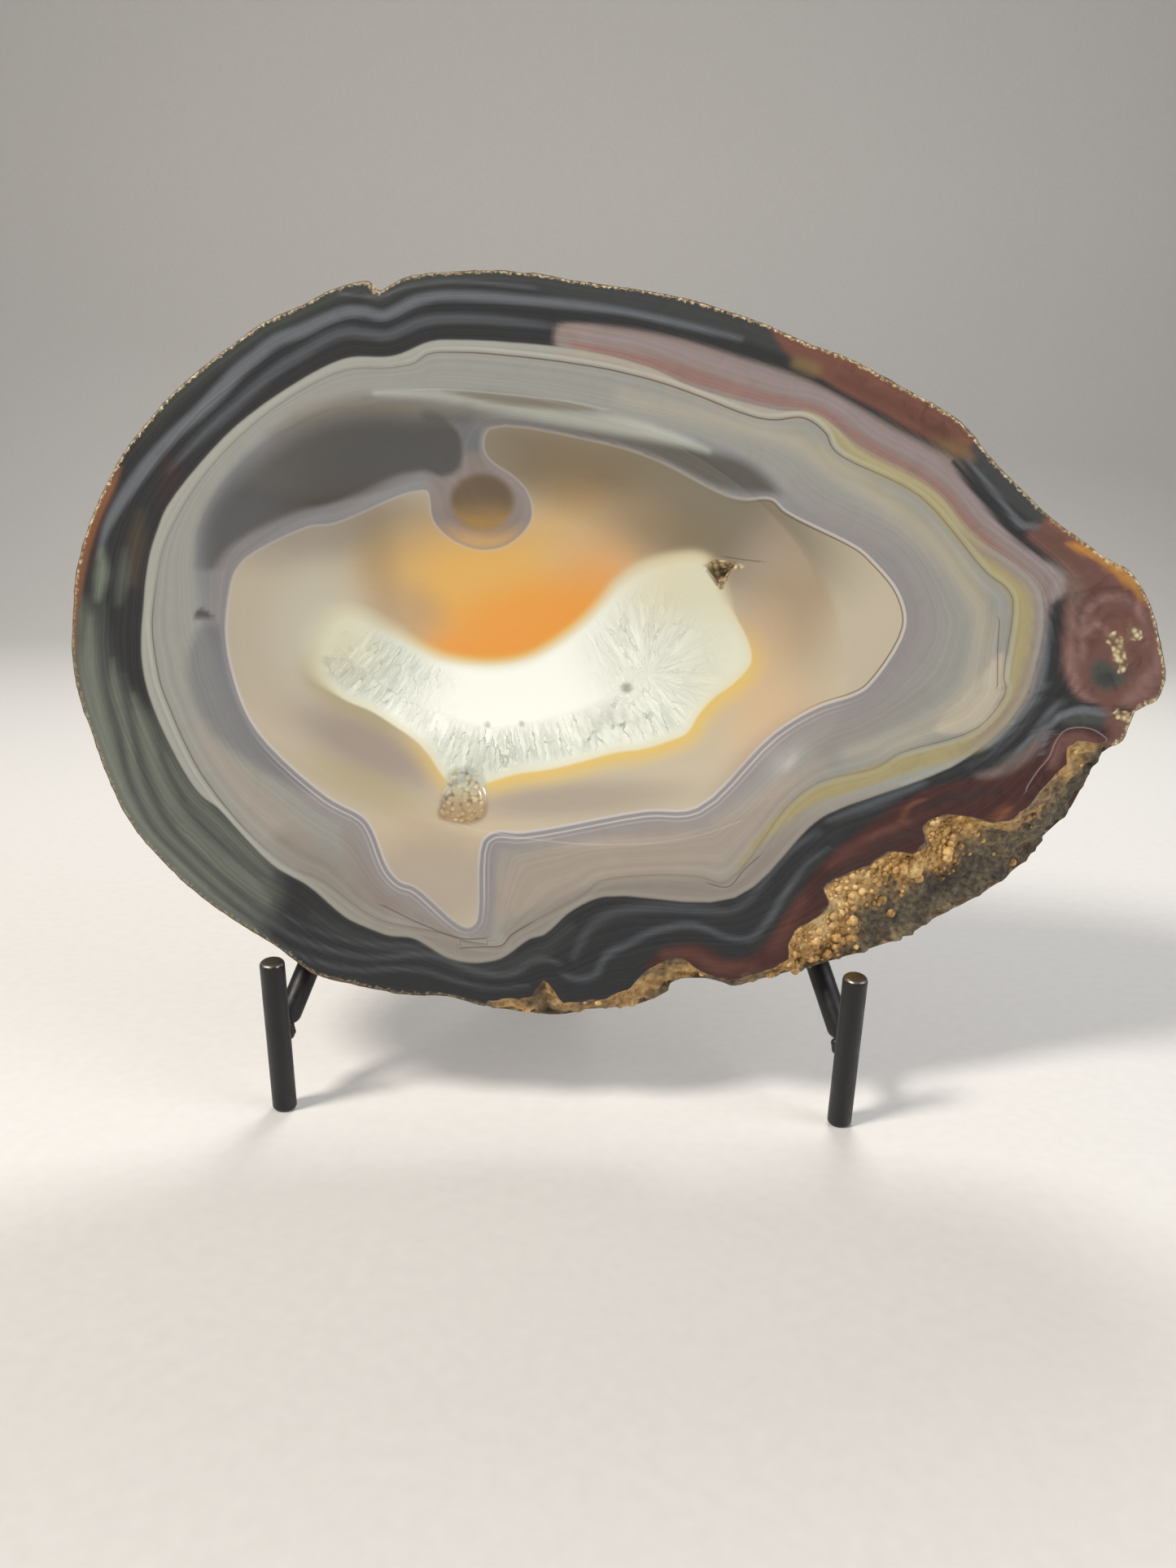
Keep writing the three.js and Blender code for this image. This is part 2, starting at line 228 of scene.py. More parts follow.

# %% [markdown]
# The outline and the bands are drawn as rings of points, read off the stone from left to right, and a
# smooth curve runs through each ring. The outline also says how deep the edge lies, because the broken
# corner falls away behind the face.

# %% The outline, with how deep the edge lies at each point
outline = [
    (111.6, 1, -5), (110.4, 1, 3), (108, 1, 11), (104, 1, 17), (98.6, 1, 20), (93, 1, 24), (88, 1, 27.5),
    (81, 1, 34), (76, 1, 39), (70, 1, 46), (65, 1, 49.5), (56.5, 1, 54), (47, 1, 59), (38.5, 1, 62),
    (29, 1, 66), (21.5, 1, 68.5), (12.5, 1, 71), (4, 1, 72.5), (-8, 1, 74), (-18, 1, 75.5), (-26, 1, 76),
    (-36, 1, 75.5), (-44.5, 1, 74.3), (-48.5, 1, 72.2), (-50.2, 1, 71.2), (-52, 1, 73.2), (-59.5, 1, 71.5),
    (-66, 1, 68), (-73.5, 1, 64.5), (-79, 1, 60.5), (-86, 1, 55), (-93, 1, 48.5), (-97.5, 1, 43),
    (-101.6, 1, 37.5), (-106, 1, 29), (-109, 1, 21), (-111, 1, 12.5), (-111.6, 1, 2.5), (-111.4, 1, -6),
    (-110, 1, -13), (-107, 1, -21), (-103, 1, -31), (-98, 1, -40), (-90, 1, -48.5), (-83, 1, -54.5),
    (-76, 1, -59), (-70, 1, -62.5), (-65, 1, -65.8), (-60.5, 1, -69), (-51.5, 1, -71.2), (-42, 2, -73),
    (-32.5, 2, -73.2), (-24, 3, -75.3), (-14, 4, -76.4), (-9, 4, -76.6), (-4.7, 4, -75.5), (8, 6, -74),
    (12.2, 6, -71.6), (14, 4, -68.8), (23, 3, -68.6), (25, 3, -69.6), (34, 4, -67.5), (43, 5, -65.2),
    (54, 7, -62), (62.5, 9, -59), (70.5, 10, -54.3), (78.5, 11, -50.2), (85, 11, -45.2), (88.3, 11, -42.2),
    (91, 11, -38.2), (95.5, 10, -33), (98.4, 8, -27), (99.6, 6, -22.5), (100.3, 3, -19.8),
    (103.5, 2, -17.4), (104.6, 2, -14.5), (106.2, 1, -11.2), (109.9, 1, -9.3),
]
broken_edge = [
    (100, -20.5), (94.6, -17.3), (91.5, -19), (91.5, -22.5), (88, -26), (84, -31), (80.5, -34),
    (76.5, -34.5), (72.5, -33.4), (67.5, -33), (64.5, -33.8), (62.8, -36), (63.5, -38.5), (61.3, -41),
    (56, -40.7), (52.3, -43.7), (48.3, -45.5), (45, -46.7), (43, -48.8), (44.7, -52), (41.9, -54.7),
    (38, -56.8), (36.3, -60.3), (36.5, -63), (33.5, -65.1), (24.5, -67.8), (21.5, -67), (18.2, -65.8),
    (15.8, -63.9), (13.2, -63.2), (9.3, -65.3), (6.7, -67.5), (5.1, -69.6), (-1, -72.3), (-9.2, -73.2),
    (-10.8, -70.5), (-12.6, -68.5), (-14.2, -70), (-15.3, -72.2), (-24, -73.2),
]

# %% The rings where one kind of band ends and the next begins
dark_edge = [
    (-96.5, -5.5), (-96.5, 4.5), (-95.5, 15.5), (-94, 21), (-92, 26), (-81, 40), (-73, 47), (-61.5, 54.5),
    (-55.5, 57), (-46.5, 57.5), (-39.5, 60.5), (-35.5, 61), (-9, 59.5), (6, 56), (14, 52.5), (31.5, 48),
    (39, 47.5), (44.5, 44), (48, 40.5), (64, 32), (71, 24), (85.5, 12.5), (84, -6), (80.5, -13),
    (77.5, -16.5), (68.5, -23.5), (44, -33.5), (40, -36.5), (25.5, -51), (-1, -51.5), (-7.5, -54.5),
    (-13, -59.5), (-16, -60.5), (-21.5, -64.5), (-25.5, -65.5), (-29, -65.5), (-33, -64.5), (-39.5, -61),
    (-44.5, -60.5), (-49, -59), (-53.5, -57), (-61, -51), (-69, -46.5), (-80, -35.5), (-83.5, -33),
    (-87, -28.5), (-94, -15),
]
hairline = [
    (-94.5, 1), (-94, 9.5), (-92.5, 18), (-87, 29), (-80, 38), (-68.5, 48), (-56, 54.5), (-47.5, 55),
    (-42.5, 56), (-39.5, 58), (-34, 58.5), (-17.5, 57.5), (-2.5, 55.5), (10, 52.5), (27, 46.5), (31.5, 46),
    (37, 46.5), (41.5, 43.5), (43, 40.5), (45.5, 38.5), (61, 31), (74.5, 16), (78.5, 13), (80, 10.5),
    (78.5, -5), (79, -8), (73.5, -15.5), (58, -21), (53.5, -24), (42.5, -27), (38.5, -29.5), (35, -33),
    (23.5, -48), (18, -47), (7, -47), (-2, -48.5), (-5, -51), (-20, -60), (-21.5, -62), (-28, -61.5),
    (-32, -60), (-47.5, -57), (-58, -50), (-66, -46.5), (-73.5, -40.5), (-79.5, -34), (-85, -26.5),
    (-91.5, -13), (-93, -8.5),
]
milk_edge = [
    (-85, 7), (-86, 15), (-86, 21), (-85, 24), (-80.5, 32.5), (-73, 41), (-69, 44), (-56, 49.5),
    (-50.5, 50.5), (-39, 51), (-19, 49.5), (-0.5, 46), (13, 43), (28, 37), (37, 28.5), (53, 20.5),
    (57, 17.5), (60.5, 11), (61.5, 5), (59, -0.5), (52, -9.5), (41.5, -14.5), (19.5, -34.5), (-18.5, -40),
    (-23, -42.5), (-24, -60), (-27.5, -60), (-32.5, -58), (-44.5, -49), (-49.5, -40), (-52.5, -37),
    (-66.5, -28), (-73.5, -22.5), (-80.5, -8.5), (-82, -2), (-84, 1.5),
]
white_line = [
    (-80, 0), (-80, 8.5), (-79, 13.5), (-76.5, 17), (-65, 24), (-60, 25), (-46, 31.5), (-42, 32.5),
    (-40.5, 32.5), (-39.5, 27), (-37, 24), (-33.5, 22), (-29, 21), (-24, 22), (-20.5, 24.5), (-18.5, 27.5),
    (-18.5, 30.5), (-19.5, 33), (-22, 35.5), (-27.5, 39), (-28.5, 41.5), (-27, 44.5), (-3, 41.5), (8, 38),
    (22, 31), (26, 30), (31, 30), (34, 27.5), (48.5, 20.5), (51.5, 18), (57, 11.5), (58.5, 4.5),
    (51.5, -7.5), (48.5, -9.5), (41.5, -12), (33, -17.5), (17.5, -33), (7, -34), (-18, -39), (-23.5, -39),
    (-26, -41), (-26.5, -55), (-27, -57.5), (-28.5, -58.5), (-31, -57.5), (-39.5, -50.5), (-42.5, -49.5),
    (-45, -47), (-48.5, -39), (-50.5, -36.5), (-58, -32.5), (-72.5, -19.5), (-77.5, -9.5),
]
crystal_edge = [
    (-63.5, -3), (-62.5, 3), (-59, 7), (-54.5, 7), (-50.5, 5), (-46.5, 3), (-41.5, 0), (-37, -2),
    (-31, -3), (-25, -3), (-18.5, -1.5), (-12.5, 2), (-6.5, 7), (-3, 11), (0, 14.5), (5.5, 18),
    (11.5, 19.5), (17.5, 19.5), (20.5, 17), (23, 11.5), (25, 7.5), (28, 1.5), (28.5, -2.5), (25.5, -6.5),
    (21, -10), (18, -13.5), (15.5, -17.5), (12.5, -19), (6.5, -21), (0.5, -22), (-8, -24.5), (-14, -26),
    (-20, -27), (-26, -29), (-30, -30.5), (-34.5, -28.5), (-38.5, -23.5), (-41.5, -20.5), (-46, -17.5),
    (-51, -14.5), (-57, -12), (-62.5, -7.5),
]

# %% [markdown]
# A ring of points becomes a smooth curve with a Catmull-Rom spline, which passes through every point it is
# given. Its centripetal form never loops, however unevenly the points lie. The stone's mesh needs columns
# of equal width, so the outline is then walked in equal steps.

# %% Smooth curves


def smooth_path(points, per_stretch, closed=True):
    p = np.asarray(points, float)
    if closed:
        p = np.concatenate([p[-1:], p, p[:2]])
    else:
        p = np.concatenate([2 * p[:1] - p[1:2], p, 2 * p[-1:] - p[-2:-1]])
    a, b, c, d = p[:-3], p[1:-2], p[2:-1], p[3:]

    def knot(u, v):
        return np.sqrt(np.linalg.norm(v - u, axis=-1, keepdims=True)) + 1e-9

    t1 = knot(a, b)
    t2 = t1 + knot(b, c)
    t3 = t2 + knot(c, d)
    steps = []
    for i in range(per_stretch):
        t = t1 + (t2 - t1) * i / per_stretch
        ab = (a * (t1 - t) + b * t) / t1
        bc = (b * (t2 - t) + c * (t - t1)) / (t2 - t1)
        cd = (c * (t3 - t) + d * (t - t2)) / (t3 - t2)
        abc = (ab * (t2 - t) + bc * t) / t2
        bcd = (bc * (t3 - t) + cd * (t - t1)) / (t3 - t1)
        steps.append((abc * (t2 - t) + bcd * (t - t1)) / (t2 - t1))
    path = np.stack(steps, 1).reshape(-1, *p.shape[1:])
    return path if closed else np.concatenate([path, np.asarray(points, float)[-1:]])


def equal_steps(ring, count):
    closed = np.concatenate([ring, ring[:1]])
    walked = np.concatenate([[0], np.cumsum(np.linalg.norm(np.diff(closed, axis=0), axis=1))])
    stops = np.linspace(0, walked[-1], count, endpoint=False)
    return np.stack([np.interp(stops, walked, closed[:, k]) for k in range(closed.shape[1])], 1)


def soft_step(low, high, value):
    share = np.clip((value - low) / (high - low), 0, 1)
    return share * share * (3 - 2 * share)


def mix(a, b, share):
    return a + (b - a) * share


# %% [markdown]
# The edge is measured once for every column: where the outline is, where the polish stops, and where the
# dish begins. Fine noise makes the skin's edge crumble a little, as cut rind does.

# %% Columns of the stone
columns = 640
outline_steps = 8
edge_crumble = 0.28
edge_crumble_size = 1.7
broken_crumble = 0.35


def grain(points, size_mm, shift=0.0):
    moved = np.asarray(points, float) / size_mm + shift
    return np.array([noise.noise(Vector(point)) for point in moved])


def reach(points, directions):
    """How far each direction runs from the dish's middle to a line of points, or infinity if it misses."""
    start = np.array(points[:-1]) - dish_centre
    stretch = np.diff(np.array(points, float), axis=0)
    cross = directions[:, None, 0] * stretch[:, 1] - directions[:, None, 1] * stretch[:, 0]
    distance = (start[:, 0] * stretch[:, 1] - start[:, 1] * stretch[:, 0]) / cross
    share = (start[:, 0] * directions[:, None, 1] - start[:, 1] * directions[:, None, 0]) / cross
    hit = (distance > 0) & (share >= 0) & (share <= 1)
    return np.where(hit, distance, np.inf).min(1)


def dish_fraction(x, z):
    dx, dz = x - dish_centre[0], z - dish_centre[1]
    along = (dx * math.cos(dish_turn) + dz * math.sin(dish_turn)) / dish_half_length
    across = (dz * math.cos(dish_turn) - dx * math.sin(dish_turn)) / dish_half_height
    return np.hypot(along, across)


rim = equal_steps(smooth_path(outline, outline_steps), columns)
rim_depth = rim[:, 1]
from_centre = rim[:, [0, 2]] - dish_centre
rim_radius = np.linalg.norm(from_centre, axis=1)
direction = from_centre / rim_radius[:, None]
rim_radius = rim_radius - edge_crumble * (0.5 + 0.5 * grain(rim, edge_crumble_size))
dish_radius = 1 / dish_fraction(dish_centre[0] + direction[:, 0], dish_centre[1] + direction[:, 1])
polish_stop = np.minimum(
    rim_radius - bevel_width,
    reach(broken_edge, direction) + broken_crumble * grain(rim, edge_crumble_size, 7.0),
)
broken = soft_step(0.5, 3.0, rim_radius - bevel_width - polish_stop)
turned = np.unwrap(np.arctan2(direction[:, 1], direction[:, 0]))
print("columns", columns, "| all turn one way:", bool((np.diff(turned) > 0).all()))
print("broken columns", int((broken > 0.5).sum()))

# %% [markdown]
# The face is flat outside the dish and sinks smoothly inside it. A maximum of the two with a soft corner
# rounds the dish's edge by a few tenths of a millimetre, as the polishing felt did. Two small natural
# hollows are pressed in afterwards: a deep three-sided one where the crystals end, and a shallow pocket of
# grains below them.

# %% The face's depth
hollow_point = np.array([21.6, 16.2])
hollow_side_gap = 1.8125
hollow_turns = np.radians([90, 215, 325])
hollow_depth = 3
pocket_point = np.array([-30.6, -32.6])
pocket_size = np.array([4.8, 4.7])
pocket_depth = 0.9


def hollow_reach(x, z):
    """Less than 1 inside a triangle that points down."""
    dx, dz = x - hollow_point[0], z - hollow_point[1]
    sides = [dx * math.cos(turn) + dz * math.sin(turn) for turn in hollow_turns]
    return np.maximum.reduce(sides) / hollow_side_gap


def pocket_reach(x, z):
    return np.hypot((x - pocket_point[0]) / pocket_size[0], (z - pocket_point[1]) / pocket_size[1])


def face_depth(x, z):
    fall = dish_depth * (1 - dish_fraction(x, z) ** dish_power)
    depth = (fall + np.sqrt(fall**2 + dish_edge_rounding**2)) / 2
    depth = depth + hollow_depth * (1 - soft_step(0.45, 1.05, hollow_reach(x, z)))
    return depth + pocket_depth * (1 - soft_step(0.7, 1, pocket_reach(x, z)))


# %% [markdown]
# The stone's mesh is a set of rings, from the dish's middle over the edge to the middle of the back.
# Towards the middle a ring has fewer points, because the columns crowd together there. Where a ring of half
# as many points meets a full one, three triangles bridge each step.

# %% Rings from the dish to the back
face_rings = 50
crust_shares = [0.05, 0.13, 0.23, 0.34, 0.46, 0.58, 0.70, 0.82, 0.92, 1.0]
crust_fall = 0.8
back_shares = [0.95, 0.86, 0.74, 0.61, 0.47, 0.32, 0.16]
edge_sharpness = 5
smoothing_columns = 38
calm_columns = 12
ragged_power = 8
back_steps = 4
thin_after_ring = 110
thin_within = (40, 18)
rind_wave_share = 0.4
rind_waves = [(0.8, 104, 0.1, 24), (0.6, 49, 0.55, 9)]
dish_stretches = [(8, 0.02, 0.12, 8), (4, 0.12, 0.25, 9), (2, 0.25, 0.5, 20), (1, 0.5, 1, 40)]


def rind_wave(x, z):
    total = 0
    for height, length, heading, start in rind_waves:
        along = x * math.cos(heading) + z * math.sin(heading) + start
        across = z * math.cos(heading) - x * math.sin(heading)
        total = total + height * np.sin(along * math.tau / length) * np.cos(across * math.tau / length)
    return total


def around(radius):
    return dish_centre[0] + radius * direction[:, 0], dish_centre[1] + radius * direction[:, 1]


def averaged(values, reach_each_way):
    wrapped = np.concatenate([values[-reach_each_way:], values, values[:reach_each_way]])
    window = np.ones(2 * reach_each_way + 1) / (2 * reach_each_way + 1)
    return np.convolve(wrapped, window, mode="valid")


rings = []
zones = []


def add_ring(radius, depth_at, zone, every=1):
    x, z = around(radius)
    depth = depth_at(x, z) if callable(depth_at) else depth_at
    rings.append(np.stack([x, depth + 0 * x, z], 1)[::every])
    zones.append(zone)


for every, first, last, count in dish_stretches:
    for share in np.linspace(first, last, count + 1)[1:]:
        add_ring(dish_radius * share, face_depth, "face", every)
calm_stop = averaged(polish_stop, calm_columns)
for share in np.linspace(0, 1, face_rings + 1)[1:]:
    ragged_stop = mix(calm_stop, polish_stop, share**ragged_power)
    add_ring(mix(dish_radius, ragged_stop, share), face_depth, "face")
for share in crust_shares:
    rounded = rim_depth * (1 - math.sqrt(1 - share**2))
    fallen = rim_depth * share**crust_fall
    add_ring(mix(polish_stop, rim_radius, share), mix(rounded, fallen, broken), "crust")
print(len(rings), "rings on the front")

# %% [markdown]
# The side bulges a little between the cut and the shoulder. The back is a low dome with a slow roll in it,
# as on any nodule that grew in a gas bubble in lava. Its few heights are joined by the same spline that
# smooths the outline, this time from ring to ring.

# %% Side and back
shoulder = np.maximum(shoulder_depth, rim_depth + shoulder_behind_rim)
smooth_radius = averaged(rim_radius, smoothing_columns)
smooth_shoulder = averaged(shoulder, smoothing_columns)
x, z = around(rim_radius + shoulder_bulge)
profile = [
    rings[-2],
    rings[-1],
    np.stack([*around(rim_radius + belly_bulge), rim_depth + belly_behind_rim], 1)[:, [0, 2, 1]],
    np.stack([x, shoulder + rind_wave_share * rind_wave(x, z), z], 1),
]
for share in back_shares:
    x, z = around(share * mix(smooth_radius, rim_radius, share**edge_sharpness))
    edge = mix(smooth_shoulder, shoulder, share**edge_sharpness)
    swell = (1 - share**2) * (1 - back_flattening * share**2)
    profile.append(np.stack([x, edge + (centre_thickness - edge) * swell + rind_wave(x, z), z], 1))
x, z = dish_centre
back_middle = np.array([x, centre_thickness + rind_wave(x, z), z])
side_and_back = smooth_path(profile + [np.tile(back_middle, (columns, 1))], back_steps, closed=False)
for row in side_and_back[back_steps + 1 : -1]:
    spread = np.linalg.norm(row - back_middle, axis=1).mean()
    every = 1 if len(rings) < thin_after_ring else 2 ** (1 + sum(spread <= limit for limit in thin_within))
    rings.append(row[::every])
    zones.append("rind")
dish_middle = np.array([dish_centre[0], face_depth(*dish_centre), dish_centre[1]])
print(len(rings), "rings in all,", sum(len(ring) for ring in rings), "points")

# %% [markdown]
# The rings are stitched into one closed skin. Each face keeps the zone it lies in, so that the polish, the
# broken corner and the natural rind can each have a material of their own on the same mesh.

# %% Stitch the rings
zone_slots = {"face": 0, "crust": 1, "rind": 2}


def stitch(rings, zones, first_point, last_point):
    points = np.concatenate([[first_point], *rings, [last_point]])
    starts = np.cumsum([1] + [len(ring) for ring in rings])
    first = np.arange(len(rings[0]))
    fan = np.stack([0 * first, starts[0] + first, starts[0] + (first + 1) % len(first)], 1)
    groups = [(fan, zones[0])]
    for k in range(len(rings) - 1):
        a, b = starts[k], starts[k + 1]
        a_count, b_count = len(rings[k]), len(rings[k + 1])
        i = np.arange(min(a_count, b_count))
        j = (i + 1) % len(i)
        if a_count == b_count:
            bridge = [(a + i, b + i, b + j, a + j)]
        elif b_count > a_count:
            middle = b + 2 * i + 1
            bridge = [(a + i, b + 2 * i, middle), (a + i, middle, a + j), (a + j, middle, b + 2 * j)]
        else:
            middle = a + 2 * i + 1
            bridge = [(a + 2 * i, b + i, middle), (middle, b + i, b + j), (middle, b + j, a + 2 * j)]
        groups.extend((np.stack(corners, 1), zones[k + 1]) for corners in bridge)
    last = np.arange(len(rings[-1]))
    end = len(points) - 1
    fan = np.stack([starts[-2] + last, 0 * last + end, starts[-2] + (last + 1) % len(last)], 1)
    groups.append((fan, zones[-1]))
    faces = [face for group, _ in groups for face in group.tolist()]
    slots = [zone_slots[zone] for group, zone in groups for _ in group]
    return points, faces, slots


stone_points, stone_faces, stone_slots = stitch(rings, zones, dish_middle, back_middle)
front_count = 1 + sum(len(ring) for ring, zone in zip(rings, zones) if zone == "face")
triangles = sum(len(face) - 2 for face in stone_faces)
print(len(stone_points), "points,", triangles, "triangles,", front_count, "points polished")

# %% [markdown]
# The rind is rough to the touch. Its mesh is pressed in by fractions of a millimetre, in two sizes of
# grain. The broken corner gets deeper grains, and stays behind the plane of the cut.

# %% Roughen the skin
rind_grain = 0.42
rind_grain_size = 3.1
fine_grain = 0.16
fine_grain_size = 1.1
crust_grain = 1.8
crust_grain_size = 2.6
crust_grain_gain = 1.4
least_crust_depth = 0.12


def place(points):
    """From millimetres about the face's middle to metres where the stone stands."""
    x, y, z = np.asarray(points, float).T
    lean, rise = math.cos(face_lean), math.sin(face_lean)
    turned_back = np.stack([x, y * lean + z * rise, z * lean - y * rise], 1)
    return (turned_back + np.array(face_place)) * MM


def new_piece(name, points, faces, edges=()):
    mesh = bpy.data.meshes.new(name)
    mesh.from_pydata(np.asarray(points).tolist(), edges, faces)
    mesh.shade_smooth()
    piece = bpy.data.objects.new(name, mesh)
    scene.collection.objects.link(piece)
    return piece


stone = new_piece("polished_agate", stone_points, stone_faces)
outward = np.zeros(len(stone_points) * 3)
stone.data.vertex_normals.foreach_get("vector", outward)
outward = outward.reshape(-1, 3)
skin = np.arange(front_count, len(stone_points))
pressed = rind_grain * (0.5 + 0.5 * grain(stone_points[skin], rind_grain_size))
pressed += fine_grain * (0.5 + 0.5 * grain(stone_points[skin], fine_grain_size, 3))
crust_ring_count = len(crust_shares) * columns
crust_broken = np.zeros(len(skin))
crust_broken[:crust_ring_count] = np.tile(broken, len(crust_shares))
cells = np.array([noise.voronoi(Vector(point / crust_grain_size))[0][0] for point in stone_points[skin]])
rounded_cells = crust_grain * np.clip(crust_grain_gain * cells, 0, 1) ** 2
bevel_share = np.ones(len(skin))
bevel_share[:crust_ring_count] = np.repeat(crust_shares, columns)
pressed = pressed * bevel_share + (rounded_cells - 0.5 * crust_grain) * crust_broken * np.sqrt(bevel_share)
stone_points[skin] -= outward[skin] * pressed[:, None]
stone_points[skin, 1] = np.maximum(stone_points[skin, 1], least_crust_depth)
stone.data.vertices.foreach_set("co", place(stone_points).ravel())
stone.data.update()
print("pressed in by up to", round(float(pressed.max()), 2), "mm")

# %% [markdown]
# The bands follow the rings that were read off the stone. For any point of the face, the signed distance to
# each ring says between which two rings it lies, and how far it is from one to the other. That share is the
# point's place in the layering, so a stripe painted between two shares follows both rings and never crosses
# a band.

# %% Where each point lies among the bands
ring_steps = 5
face_x, face_z = stone_points[:front_count, 0], stone_points[:front_count, 2]


def beside(a, b):
    """How far along the line from a to b each point of the face lies, its distance from it and its side."""
    ex, ez = b[0] - a[0], b[1] - a[1]
    dx, dz = face_x - a[0], face_z - a[1]
    along = np.clip((dx * ex + dz * ez) / (ex * ex + ez * ez), 0, 1)
    return along, np.hypot(dx - along * ex, dz - along * ez), np.where(ex * dz - ez * dx < 0, -1, 1)


def distance_inside(ring):
    """How far each point lies inside a closed ring, and less than nothing outside it."""
    nearest = np.full(front_count, np.inf)
    enclosed = np.zeros(front_count, bool)
    for a, b in zip(ring, np.roll(ring, -1, 0)):
        nearest = np.minimum(nearest, beside(a, b)[1])
        if a[1] != b[1]:
            crossing = (b[0] - a[0]) * (face_z - a[1]) / (b[1] - a[1]) + a[0]
            enclosed ^= ((a[1] > face_z) != (b[1] > face_z)) & (face_x < crossing)
    return np.where(enclosed, 1, -1) * nearest


flat_outline = [(x, z) for x, _, z in outline]
contours = [flat_outline, dark_edge, hairline, milk_edge, white_line, crystal_edge]
inside = [distance_inside(smooth_path(contour, ring_steps)) for contour in contours]
band = np.zeros(front_count)
for k in range(5):
    outer_gap, inner_gap = np.abs(inside[k]), np.abs(inside[k + 1])
    band = np.where(inside[k] > 0, k + outer_gap / (outer_gap + inner_gap + 1e-9), band)
band = np.where(inside[5] > 0, 5, band)
print("points in each band:", [int(((band >= k) & (band < k + 1)).sum()) for k in range(6)])

# %% [markdown]
# The colours go on in four coats: one for the bands near the rim, one for the milky bands, one for the
# clear core and one for its crystals. The material later cuts from one coat to the next exactly where the
# ring lies, so those borders stay sharp however coarse the mesh is. Iron stained some bands and left others
# clear, so each coat is painted with four kinds of mask: a stripe between two places in the layering, an
# oval spot, a ribbon that follows a path and has its own width at each point, and a patch with an outline
# of its own.

# %% Coats of colour
path_steps = 6


def spot(x, z, half_length, half_height, turn=0, edge=0.35):
    """Full inside an oval, turned by so many degrees. A wider edge fades it over more of its size."""
    a = math.radians(turn)
    dx, dz = face_x - x, face_z - z
    along = (dx * math.cos(a) + dz * math.sin(a)) / half_length
    across = (dz * math.cos(a) - dx * math.sin(a)) / half_height
    return 1 - soft_step(1 - edge, 1 + edge, np.hypot(along, across))


def spots(*ovals):
    """Full inside any of several ovals."""
    return np.clip(sum(spot(*oval) for oval in ovals), 0, 1)


def ribbon(points, soft):
    """Full inside a band whose points each give a place and a half width."""
    line = smooth_path(points, path_steps, closed=False)
    outside = np.full(front_count, np.inf)
    for a, b in zip(line[:-1], line[1:]):
        along, gap, _ = beside(a, b)
        outside = np.minimum(outside, gap - mix(a[2], b[2], along))
    return 1 - soft_step(-soft, soft, outside)


def patch(points, soft):
    return soft_step(-soft, soft, distance_inside(smooth_path(points, ring_steps)))


class Coat:
    def __init__(self, colour):
        self.colour = np.tile(linear(palette[colour]), (front_count, 1))

    def lay(self, colour, mask):
        share = np.clip(mask, 0, 1)[:, None]
        self.colour = mix(self.colour, linear(palette[colour]), share)

    def stripe(self, colour, low, high, soft=0.06, strength=1, at=1):
        entered = soft_step(low - soft, low + soft, band)
        left = soft_step(high - soft, high + soft, band)
        self.lay(colour, entered * (1 - left) * strength * at)

    def ribbons(self, rows):
        """Lays ribbons in turn. A row gives the colour, how strong and how soft it is, and its points."""
        for colour, strength, soft, points in rows:
            self.lay(colour, strength * ribbon(points, soft))


# %% [markdown]
# The outer bands are black and slate, because they let light through and show the dark behind them. The
# upper left has one pale slate band and one of dull lead between black ones, all running along the rim.

# %% Outer bands: upper left
outer = Coat("soot")
outer.stripe("umber", -1, 0.02, 0.03)
outer.stripe("moss", 0, 0.22, 0.08, 0.6, spot(-62, 70, 52, 20, 22))
outer.stripe("charcoal", 0.05, 0.3, 0.06, 0.7, spot(12, 70, 40, 12, -14))
outer.ribbons([
    ("slate", 0.9, 0.8, [
        (-106, 15, 0.2), (-104.5, 21, 0.8), (-102, 26, 1.1), (-98.3, 31.7, 1.3), (-95, 36, 1.3),
        (-91, 40.6, 1.2), (-86, 45.3, 1.3), (-82, 49.5, 1.5), (-78, 54, 1.4), (-74.8, 56.8, 1.3),
        (-70.5, 60.2, 1.3), (-65.5, 62.3, 1.3), (-60.5, 64.8, 1.2), (-56.4, 66.3, 1.2), (-52.7, 66.4, 1.1),
        (-49, 65.7, 1), (-45.8, 67, 1.1), (-42.6, 68.7, 1.1), (-38.4, 69.8, 1), (-30, 70, 1),
        (-20, 69.4, 0.9), (-10, 68.6, 0.9), (0, 67.3, 0.8), (12, 65, 0.7), (24, 62.3, 0.3),
    ]),
    ("lead", 0.85, 0.9, [
        (-92, 33, 0.2), (-88.5, 37, 0.6), (-84, 41.6, 0.9), (-79.5, 45.8, 1), (-74.5, 50.6, 1),
        (-69.3, 55, 1.1), (-65, 57.8, 1.1), (-60, 61, 1.1), (-56, 62.3, 1.1), (-52.3, 62, 1),
        (-48, 61.7, 1), (-44.4, 63.2, 1), (-40.6, 64.7, 1), (-34, 65.4, 0.9), (-26, 65.2, 0.8),
        (-18, 64.5, 0.6), (-13, 64, 0.2),
    ]),
    ("slate", 0.5, 0.4, [
        (-58, 70, 0.3), (-50, 69.6, 0.3), (-44, 71.6, 0.3), (-36, 72.8, 0.3), (-28, 72.7, 0.3),
        (-18, 71.9, 0.3),
    ]),
    ("wine", 0.4, 2.6, [(-93.2, 36.5, 0.4), (-91.2, 32, 1.8), (-92.6, 27, 1)]),
    ("bronze", 0.25, 2.4, [(-97.5, 24, 0.4), (-98.3, 18, 1.3), (-98.8, 10, 0.7)]),
])

# %% [markdown]
# The lower left is cloudier, so it looks grey-green, and its bands are wide. Rust has soaked into the rim
# above it.

